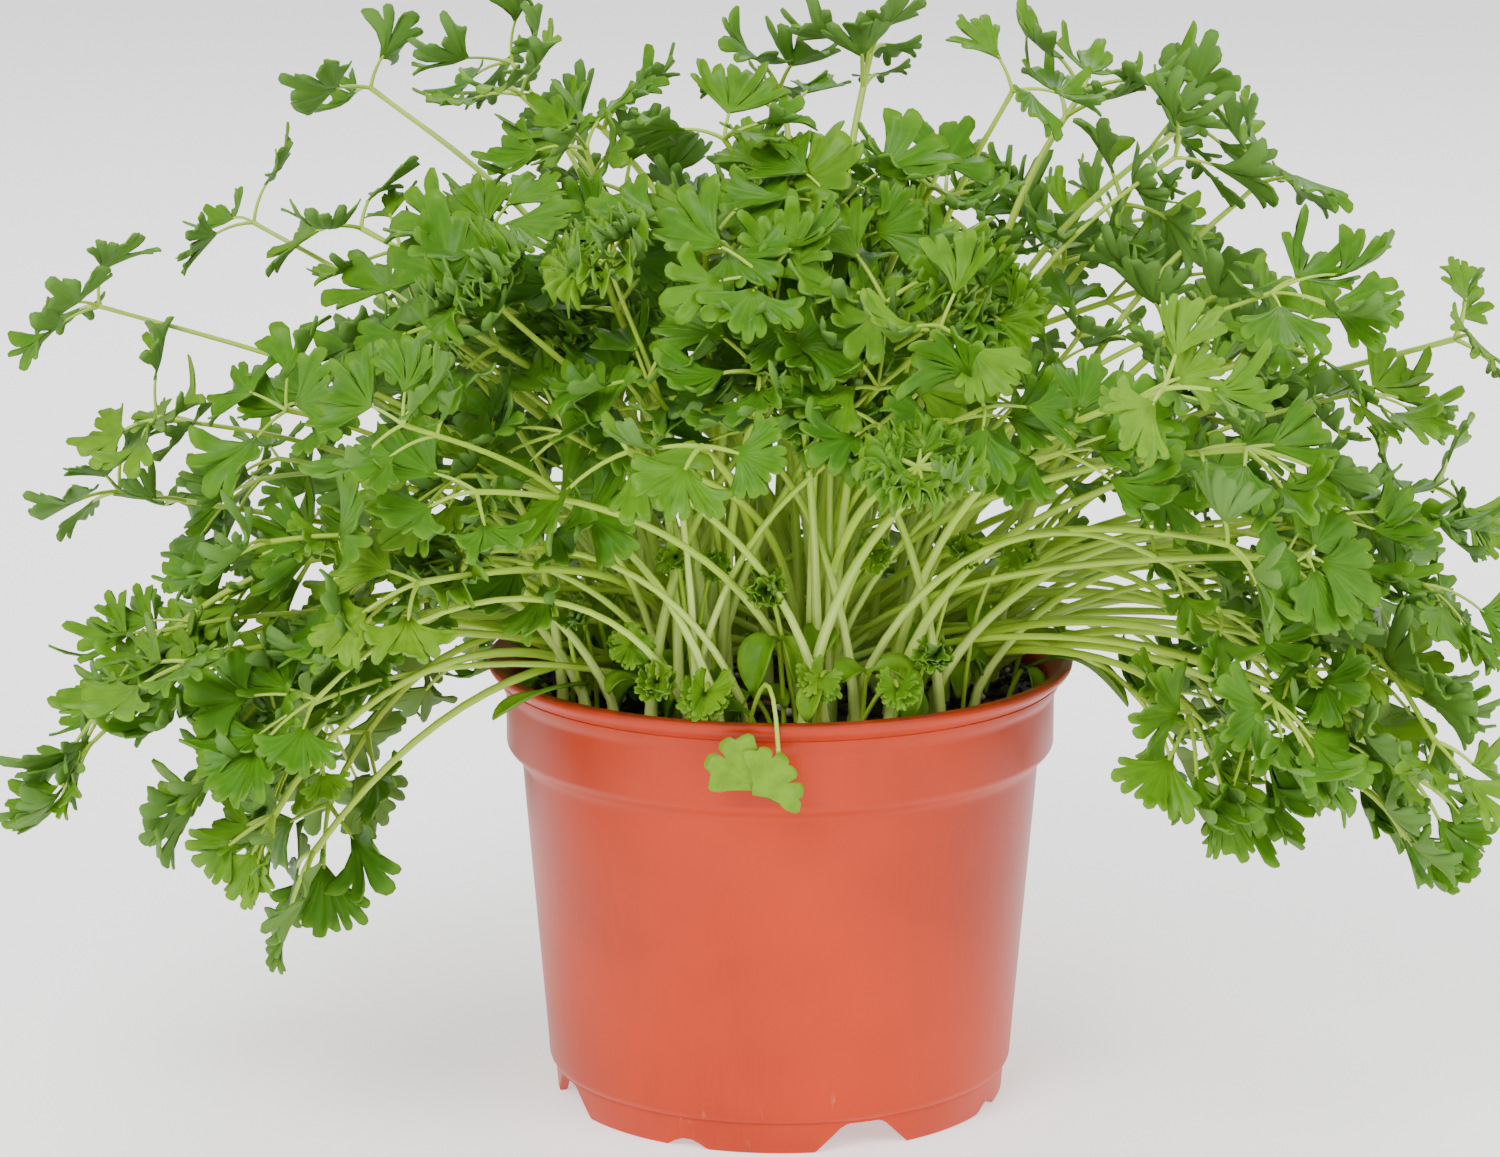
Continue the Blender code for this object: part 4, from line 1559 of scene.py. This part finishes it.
# One row for each leaflet form: lobes, teeth in a lobe, half angle of the fan in degrees,
# depth of the clefts and of the notches as a share of the length, then how it is bent
LEAFLET_ROWS = (
    # lobed
    (3, 3, 62, 0.50, 0.80, (0.22, 0.35, 0.05, 0.08, 0.40)),
    (3, 3, 58, 0.46, 0.80, (-0.15, 0.60, 0.04, 0.07, 0.50)),
    (3, 3, 72, 0.44, 0.78, (0.34, 0.10, 0.05, 0.12, 0.55)),
    (3, 3, 54, 0.54, 0.82, (-0.25, 0.40, 0.06, 0.07, 0.45)),
    (3, 2, 64, 0.42, 0.76, (0.12, 0.80, 0.04, 0.10, 0.55)),
    (3, 4, 78, 0.48, 0.82, (-0.20, 0.20, 0.05, 0.14, 0.45)),
    (3, 2, 52, 0.46, 0.78, (0.36, 0.50, 0.04, 0.06, 0.60)),
    (3, 3, 68, 0.40, 0.76, (0.06, 0.55, 0.06, 0.10, 0.65)),
    (3, 3, 84, 0.50, 0.80, (0.28, -0.20, 0.05, 0.12, 0.45)),
    # broad and flat
    (3, 3, 70, 0.60, 0.82, (0.04, 0.05, 0.04, 0.05, 0.20)),
    (3, 3, 64, 0.64, 0.84, (-0.06, 0.08, 0.03, 0.06, 0.22)),
    # curled
    (5, 4, 118, 0.60, 0.80, (0.30, 0.30, 0.12, 0.26, 1.30)),
    (5, 4, 132, 0.56, 0.78, (0.15, 0.10, 0.14, 0.30, 1.40)),
    (5, 3, 106, 0.52, 0.76, (0.42, 0.45, 0.10, 0.24, 1.20)),
    (6, 3, 138, 0.60, 0.80, (-0.10, 0.25, 0.12, 0.32, 1.50)),
)


def leaflet_forms():
    """The leaflet forms: lobed ones first, then the flat ones and the tightly curled ones."""
    return [leaflet_mesh(f"fan_{i}", 40 + i, *row) for i, row in enumerate(LEAFLET_ROWS)]


def spray_tree():
    """Geometry tree: hang one leaflet of the wanted form, turn and size on every point."""
    tree, given = new_tree(
        "spray_leaflets",
        [
            ("Geometry", "NodeSocketGeometry", None),
            ("Forms", "NodeSocketCollection", None),
            ("Material", "NodeSocketMaterial", None),
            ("Leaflet Scale", "NodeSocketFloat", 1.0),
        ],
    )
    size = add_node(
        tree, "GeometryNodeInputNamedAttribute", {"Name": "size"}, data_type="FLOAT"
    )
    spin = add_node(
        tree, "GeometryNodeInputNamedAttribute", {"Name": "turn"}, data_type="FLOAT_VECTOR"
    )
    form = add_node(tree, "GeometryNodeInputNamedAttribute", {"Name": "form"}, data_type="INT")
    scale = add_node(
        tree,
        "ShaderNodeMath",
        {0: size, 1: given.outputs["Leaflet Scale"]},
        operation="MULTIPLY",
    )
    rotation = add_node(tree, "FunctionNodeEulerToRotation", {0: spin})
    forms = add_node(
        tree,
        "GeometryNodeCollectionInfo",
        {0: given.outputs["Forms"], 1: True, 2: True},
    )
    placed = add_node(
        tree,
        "GeometryNodeInstanceOnPoints",
        {0: given.outputs["Geometry"], 2: forms, 3: True, 4: form, 5: rotation, 6: scale},
    )
    finish_tree(tree, placed, given.outputs["Material"])
    return tree


def hang_leaflets(name, leaflets, forms, tree, material, scale):
    """Leaflets as one mesh, from rows of base point, midrib, face, size, form and tone."""
    places, sizes, turns, picks, tones = [], [], [], [], []
    for base, along, face, size, form, tone in leaflets:
        rotation = Matrix((along.cross(face), along, face)).transposed()
        places.append(tuple(base))
        sizes.append(size)
        turns.append(tuple(rotation.to_euler()))
        picks.append(form)
        tones.append(tone)
    attributes = {
        "size": ("FLOAT", sizes),
        "turn": ("FLOAT_VECTOR", turns),
        "form": ("INT", picks),
        "tone": ("FLOAT", tones),
    }
    values = {"Forms": forms, "Material": material, "Leaflet Scale": scale}
    return grown_mesh(name, places, [], attributes, tree, values)


def sprig_leaflets(sprigs):
    rows = []
    for sprig in sprigs:
        for b in fork(sprig):
            rows.append((b.end, b.along, b.face, b.size, b.form, b.tone))
    return rows


class OBJECT_OT_parsley_leaves(bpy.types.Operator):
    """Hang the leaflets on the forks"""

    bl_idname = "object.parsley_leaves"
    bl_label = "Leaves"

    def execute(self, context):
        settings = context.scene.parsley_plant
        framed, filling = whole_plant(context)
        material = leaf_material(settings)
        forms = form_collection("leaflet_form", leaflet_forms())
        tree = spray_tree()
        scale = settings.leaflet_size
        for sprig in framed:
            mesh = hang_leaflets("leaf", sprig_leaflets([sprig]), forms, tree, material, scale)
            add_piece(f"cut_leaf_{sprig.name}", mesh, [f"leaf_{sprig.name}"])
        for clump, sprigs in by_clump(filling):
            mesh = hang_leaflets("leaves", sprig_leaflets(sprigs), forms, tree, material, scale)
            add_piece(f"inner_leaves_{clump + 1:02d}", mesh)
        drop_forms(forms)
        return {"FINISHED"}


# ---------------------------------------------------------------- seed leaves and rim sprig


def oval_blade(centre_line, widths, face, thickness):
    """A closed oval blade along a centre line, a little folded about its midrib."""
    count = len(centre_line)
    across = 6
    top, veins, edges = [], [], []
    for i, (point, width) in enumerate(zip(centre_line, widths)):
        ahead = centre_line[min(count - 1, i + 1)] - centre_line[max(0, i - 1)]
        side = ahead.cross(face).normalized()
        normal = side.cross(ahead).normalized()
        for j in range(across + 1):
            u = 2 * j / across - 1
            lift = normal * (abs(u) ** 1.5 * width * 0.3)
            top.append(point + side * (u * width / 2) + lift)
            veins.append(abs(u) * 0.5)
            edges.append(abs(u))
    verts = [p + face * thickness / 2 for p in top] + [p - face * thickness / 2 for p in top]
    size = len(top)
    row = across + 1
    faces = []
    for i in range(count - 1):
        for j in range(across):
            a = i * row + j
            faces.append((a, a + 1, a + row + 1, a + row))
    outline = list(range(row))
    outline += [i * row + across for i in range(1, count)]
    outline += [(count - 1) * row + j for j in range(across - 1, -1, -1)]
    outline += [i * row for i in range(count - 2, 0, -1)]
    faces = both_sheets(size, faces, outline)
    return verts, faces, veins * 2, edges * 2, [0.0] * size + [1.0] * size


def blade_mesh(blades, tones, material):
    """Join oval blades into one mesh with the leaf's attributes."""
    verts, faces = [], []
    attributes = {"vein": [], "edge": [], "under": [], "tone": []}
    for (points, blade_faces, *values), tone in zip(blades, tones):
        first = len(verts)
        verts += points
        faces += [tuple(first + i for i in face) for face in blade_faces]
        for label, numbers in zip(attributes, (*values, [tone] * len(points))):
            attributes[label] += numbers
    mesh = blade_faces_mesh("blades", verts, faces, attributes)
    mesh.materials.append(material)
    return mesh


def oval_widths(width, steps, stem=0.0):
    """Widths along an oval blade; stem is the share of its length that is a narrow stem."""
    narrow = 1.1 * MM
    widths = []
    for i in range(steps + 1):
        t = max(0.0, (i / steps - stem) / (1.0 - stem))
        swell = sin(pi * min(0.985, t) ** 1.25) ** 0.62 if t > 0 else 0.0
        widths.append(max(narrow if t < 0.9 else 0.1 * width, width * swell))
    return widths


SEEDLINGS = 34
# One row for each long seed leaf: level of its root, arch and fall to its tip as shares of the
# height that it spans, width in millimetres, share of its length that is a narrow stem
LONG_SEED_LEAVES = (
    (0.45, 0.55, 0.25, 6.5, 0.5),
    (0.66, 0.16, 0.30, 4.4, 0.5),
    (0.35, 0.55, 0.60, 7.0, 0.42),
)


class OBJECT_OT_parsley_seed_leaves(bpy.types.Operator):
    """Lay the long seed leaves over the lip and stand the seedlings among the stalks"""

    bl_idname = "object.parsley_seed_leaves"
    bl_label = "Seed leaves"

    def execute(self, context):
        settings = context.scene.parsley_plant
        draw = random.Random(31)
        material = named_material("parsley_blade", leaf_material, settings)
        stalk = named_material("parsley_stalk", stalk_material, settings)
        steps = 16
        for number, (node, rule) in enumerate(zip(SEED_LEAF_NODES, LONG_SEED_LEAVES)):
            root_level, arch, fall, width, stem = rule
            low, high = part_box(node)
            centre = (low + high) / 2
            out = outward(atan2(centre.x, -centre.y))
            inner, outer = reach_along(low, high, out)
            line = []
            for i in range(steps + 1):
                t = i / steps
                point = out * (inner + (outer - inner) * t)
                rise = root_level + arch * sin(pi * t) - fall * t
                point.z = low.z + (high.z - low.z) * rise
                line.append(point)
            widths = oval_widths(width * MM, steps, stem=stem)
            blade = oval_blade(line, widths, Vector((0, 0, 1)), 0.5 * MM)
            mesh = blade_mesh([blade], [0.95], material)
            add_piece(f"long_seed_leaf_{number + 1}", mesh, [node])
        blades, tones, stems = [], [], []
        for k in range(SEEDLINGS):
            azimuth = radians(-84 + 168 * (k + draw.uniform(0.1, 0.9)) / SEEDLINGS)
            radius = draw.uniform(33, 52) * MM
            start = outward(azimuth) * radius
            start.z = soil_level(radius) - STALK_SUNK
            height = draw.uniform(9, 26) * MM
            lean = outward(azimuth + draw.uniform(-1.4, 1.4)) * draw.uniform(1, 5) * MM
            top = start + lean + Vector((0, 0, height))
            stems.append((start, (start + top) / 2 - lean * 0.6, top))
            for side in (-1, 1):
                if side > 0 and draw.random() < 0.45:
                    continue
                way = outward(azimuth + side * draw.uniform(0.2, 1.5))
                length = draw.uniform(9, 14.5) * MM
                hang = draw.uniform(0.5, 1.5)
                line = []
                for i in range(steps + 1):
                    t = i / steps
                    point = top + way * (length * (0.85 * t - 0.25 * hang * t * t))
                    point.z += length * (0.5 * t - hang * t * t)
                    line.append(point)
                face = (Vector((0, 0, 1)) + way * 1.2 + outward(azimuth) * 0.6).normalized()
                widths = oval_widths(length * draw.uniform(0.42, 0.56), steps, stem=0.16)
                blades.append(oval_blade(line, widths, face, 0.45 * MM))
                tones.append(draw.uniform(0.72, 1.0))
        add_piece("seedling_leaves", blade_mesh(blades, tones, material))
        mesh = thin_stems(stems, 0.55 * MM, stalk)
        add_piece("seedling_stems", mesh)
        return {"FINISHED"}


def thin_stems(stems, radius, material):
    """Sweep thin stems through (start, middle, end) points."""
    steps = 8
    shares = [i / steps for i in range(steps + 1)]
    radii = [radius] * len(shares)
    along = [0.3 + 0.5 * t for t in shares]
    paths = [([bent(*stem, t) for t in shares], radii, along, 0.7) for stem in stems]
    return swept_mesh("stems", paths, stalk_tree(), material)


# Young sprigs among the stalks: x, y and z of the leaf in millimetres, its size, leaflet form
YOUNG_SPRIGS = (
    (-16, -55, 103, 7.5, 9),
    (-3, -50, 124, 7.0, 2),
    (19, -46, 131, 5.0, 7),
    (-22, -47, 130, 5.0, 4),
    (-14, -42, 127, 5.0, 0),
    (38, -44, 131, 5.0, 7),
    (49, -38, 130, 5.5, 2),
    (-31, -50, 112, 6.0, 5),
    (8, -54, 106, 6.0, 3),
    (32, -50, 110, 6.0, 2),
    (-44, -40, 116, 6.5, 6),
    (24, -55, 104, 6.0, 1),
    (-26, -53, 105, 6.0, 7),
)


class OBJECT_OT_parsley_young_sprigs(bpy.types.Operator):
    """Set the tiny young leaves on thin stems among the stalks"""

    bl_idname = "object.parsley_young_sprigs"
    bl_label = "Young sprigs"

    def execute(self, context):
        settings = context.scene.parsley_plant
        draw = random.Random(71)
        material = named_material("parsley_blade", leaf_material, settings)
        stalk = named_material("parsley_stalk", stalk_material, settings)
        forms = form_collection("young_form", leaflet_forms())
        stems, leaflets = [], []
        for *place, size, form in YOUNG_SPRIGS:
            tip = Vector(place) * MM
            base = Vector((tip.x * 0.8 + draw.uniform(-8, 8) * MM, tip.y * 0.8, 0.0))
            base.z = soil_level(base.length) - STALK_SUNK
            middle = (base + tip) / 2 + Vector((draw.uniform(-6, 6), 0, 14)) * MM
            stems.append((base, middle, tip))
            way = (tip - middle).normalized()
            for turn in (-112, -52, 4, 60, 120):
                along = way.copy()
                along.rotate(Matrix.Rotation(radians(turn), 3, "Y"))
                face = Vector((draw.uniform(-0.3, 0.3), -1.0, draw.uniform(0.2, 0.9)))
                face = (face - along * face.dot(along)).normalized()
                tone = draw.uniform(0.7, 1.0)
                width = size * draw.uniform(0.85, 1.1) * MM
                leaflets.append((tip, along, face, width, form, tone))
        mesh = hang_leaflets(
            "young", leaflets, forms, spray_tree(), material, settings.leaflet_size
        )
        drop_forms(forms)
        add_piece("young_leaves", mesh)
        add_piece("young_stems", thin_stems(stems, 0.5 * MM, stalk))
        return {"FINISHED"}


class OBJECT_OT_parsley_rim_sprig(bpy.types.Operator):
    """Hang the small pale leaf over the lip at the front"""

    bl_idname = "object.parsley_rim_sprig"
    bl_label = "Rim sprig"

    def execute(self, context):
        settings = context.scene.parsley_plant
        material = named_material("parsley_blade", leaf_material, settings)
        stalk = named_material("parsley_stalk", stalk_material, settings)
        stalk_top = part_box("rim_stalk")[1].z
        leaf_low, leaf_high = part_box("rim_leaf")
        width = leaf_high.x - leaf_low.x
        hang = -(RIM + 1.2 * MM)
        root = Vector((leaf_low.x + 0.2 * width, 0.82 * -SOIL_RADIUS, 0.0))
        root.z = soil_level(root.length) - STALK_SUNK
        elbow = Vector((leaf_low.x + 0.58 * width, hang, POT_TOP - 4.5 * MM))
        node = Vector((leaf_low.x + 0.39 * width, hang, POT_TOP - 12.8 * MM))
        crest = 2.0 * (stalk_top - 1.0 * MM) - 0.5 * (root.z + elbow.z)
        over = Vector((elbow.x - 1.5 * MM, -RIM + 2.0 * MM, crest))
        middle = Vector((elbow.x + 0.6 * MM, hang, (elbow.z + node.z) / 2))
        mesh = thin_stems([(root, over, elbow), (elbow, middle, node)], 0.48 * MM, stalk)
        add_piece("rim_sprig_stalk", mesh, ["rim_stalk"])
        rows = (
            (2, 2, 40, 0.78, 0.88, (0.02, 0.05, 0.03, 0.05, 0.25)),
            (3, 2, 66, 0.7, 0.86, (-0.04, 0.08, 0.03, 0.05, 0.3)),
        )
        forms = form_collection(
            "rim_form", [leaflet_mesh(f"rim_form_{i}", 60 + i, *row) for i, row in enumerate(rows)]
        )
        # Two leaflets folded up against the pot, one to each side: direction in degrees, length,
        # then where each starts beside the node, and how far in front of it
        face = Vector((0.0, -1.0, 0.12)).normalized()
        leaflets = []
        for form, (direction, length, *start) in enumerate(
            ((139.0, 14.4, 1.2, -2.0, -1.0), (40.0, 11.6, -1.6, -2.6, -1.2))
        ):
            angle = radians(direction)
            along = Vector((cos(angle), 0.0, sin(angle)))
            along = (along - face * along.dot(face)).normalized()
            leaflets.append((node + Vector(start) * MM, along, face, length * MM, form, 0.95))
        mesh = hang_leaflets(
            "rim_leaf", leaflets, forms, spray_tree(), material, settings.leaflet_size
        )
        drop_forms(forms)
        add_piece("rim_sprig_leaf", mesh, ["rim_leaf"])
        return {"FINISHED"}


# ---------------------------------------------------------------- stage


WHITE = (1.0, 1.0, 1.0, 1.0)
FLOOR_RADIUS = 9.0
LIGHT_TARGET = Vector((0.0, 0.0, 0.12))
CAMERA_PLACE = (-0.0066, -1.046, 0.3525)
CAMERA_TILT = radians(77.2)  # from straight down


def soft_light(name, place, width, power):
    """A square area light, its width in metres, turned to the plant."""
    data = bpy.data.lights.new(name, "AREA")
    data.shape = "SQUARE"
    data.size = width
    data.energy = power
    light = bpy.data.objects.new(name, data)
    bpy.context.scene.collection.objects.link(light)
    light.location = place
    light.rotation_euler = (LIGHT_TARGET - Vector(place)).to_track_quat("-Z", "Y").to_euler()


class OBJECT_OT_parsley_stage(bpy.types.Operator):
    """Set up the pale floor, the soft studio lights and the camera"""

    bl_idname = "object.parsley_stage"
    bl_label = "Stage"

    def execute(self, context):
        settings = context.scene.parsley_stage
        bm = bmesh.new()
        bmesh.ops.create_circle(bm, cap_ends=True, segments=96, radius=FLOOR_RADIUS)
        mesh = finished_mesh("floor", bm, False)
        material, tree, shader = new_material("matt_studio_floor")
        # Lit from below near the plant; the glow fades to the background's tone far away
        place = add_node(tree, "ShaderNodeTexCoord").outputs["Object"]
        distance = add_node(tree, "ShaderNodeVectorMath", {0: place}, operation="LENGTH")
        glow = add_node(
            tree,
            "ShaderNodeMapRange",
            {0: distance.outputs["Value"], 1: 1.5, 2: 7.0, 3: 0.75, 4: 0.06},
        )
        feed(shader, {"Base Color": shade(settings.floor_colour), "Roughness": 0.9})
        feed(shader, {"Emission Color": WHITE, "Emission Strength": glow})
        mesh.materials.append(material)
        floor = scratch_object("studio_floor", mesh)
        world = bpy.data.worlds.new("studio")
        world.use_nodes = True
        feed(world.node_tree.nodes["Background"], {"Color": WHITE, "Strength": 0.95})
        context.scene.world = world
        soft_light("key_light", (-0.55, -1.1, 1.15), 0.8, settings.key_power)
        soft_light("fill_light", (1.1, -0.7, 0.7), 0.9, settings.fill_power)
        soft_light("back_light", (0.2, 1.1, 1.2), 0.9, settings.fill_power)
        camera_data = bpy.data.cameras.new("camera")
        camera_data.lens = settings.focal_length
        camera_data.sensor_width = 36.0
        camera_data.clip_start = 0.05
        camera = bpy.data.objects.new("camera", camera_data)
        context.scene.collection.objects.link(camera)
        camera.location = CAMERA_PLACE
        camera.rotation_euler = (CAMERA_TILT, 0.0, 0.0)
        context.scene.camera = camera
        return {"FINISHED"}


# ---------------------------------------------------------------- panel and registration


class VIEW3D_PT_parsley(bpy.types.Panel):
    """Lists the steps that build the potted parsley, with their settings"""

    bl_label = "Potted Parsley"
    bl_idname = "VIEW3D_PT_parsley"
    bl_space_type = "VIEW_3D"
    bl_region_type = "UI"
    bl_category = "Parsley"

    def draw(self, context):
        layout = self.layout
        scene = context.scene
        for name, _, operators in SECTIONS:
            settings = getattr(scene, name)
            box = layout.box()
            for key in settings.__annotations__:
                box.prop(settings, key)
            for operator in operators:
                box.operator(operator.bl_idname)


# The steps in the order that they run, under the settings that they use
SECTIONS = (
    ("parsley_stage", ParsleyStageSettings, (OBJECT_OT_parsley_stage,)),
    ("parsley_pot", ParsleyPotSettings, (OBJECT_OT_parsley_pot,)),
    ("parsley_compost", ParsleyCompostSettings, (OBJECT_OT_parsley_compost,)),
    (
        "parsley_plant",
        ParsleyPlantSettings,
        (
            OBJECT_OT_parsley_stalks,
            OBJECT_OT_parsley_leaves,
            OBJECT_OT_parsley_seed_leaves,
            OBJECT_OT_parsley_young_sprigs,
            OBJECT_OT_parsley_rim_sprig,
        ),
    ),
)


def register():
    for name, settings, operators in SECTIONS:
        for cls in (settings, *operators):
            bpy.utils.register_class(cls)
        setattr(bpy.types.Scene, name, bpy.props.PointerProperty(type=settings))
    bpy.utils.register_class(VIEW3D_PT_parsley)


def unregister():
    bpy.utils.unregister_class(VIEW3D_PT_parsley)
    for name, settings, operators in reversed(SECTIONS):
        delattr(bpy.types.Scene, name)
        for cls in (*operators, settings):
            bpy.utils.unregister_class(cls)


def main():
    register()
    bpy.ops.object.parsley_stage()
    bpy.ops.object.parsley_pot()
    bpy.ops.object.parsley_compost()
    bpy.ops.object.parsley_stalks()
    bpy.ops.object.parsley_leaves()
    bpy.ops.object.parsley_seed_leaves()
    bpy.ops.object.parsley_young_sprigs()
    bpy.ops.object.parsley_rim_sprig()


if __name__ == "__main__":
    main()
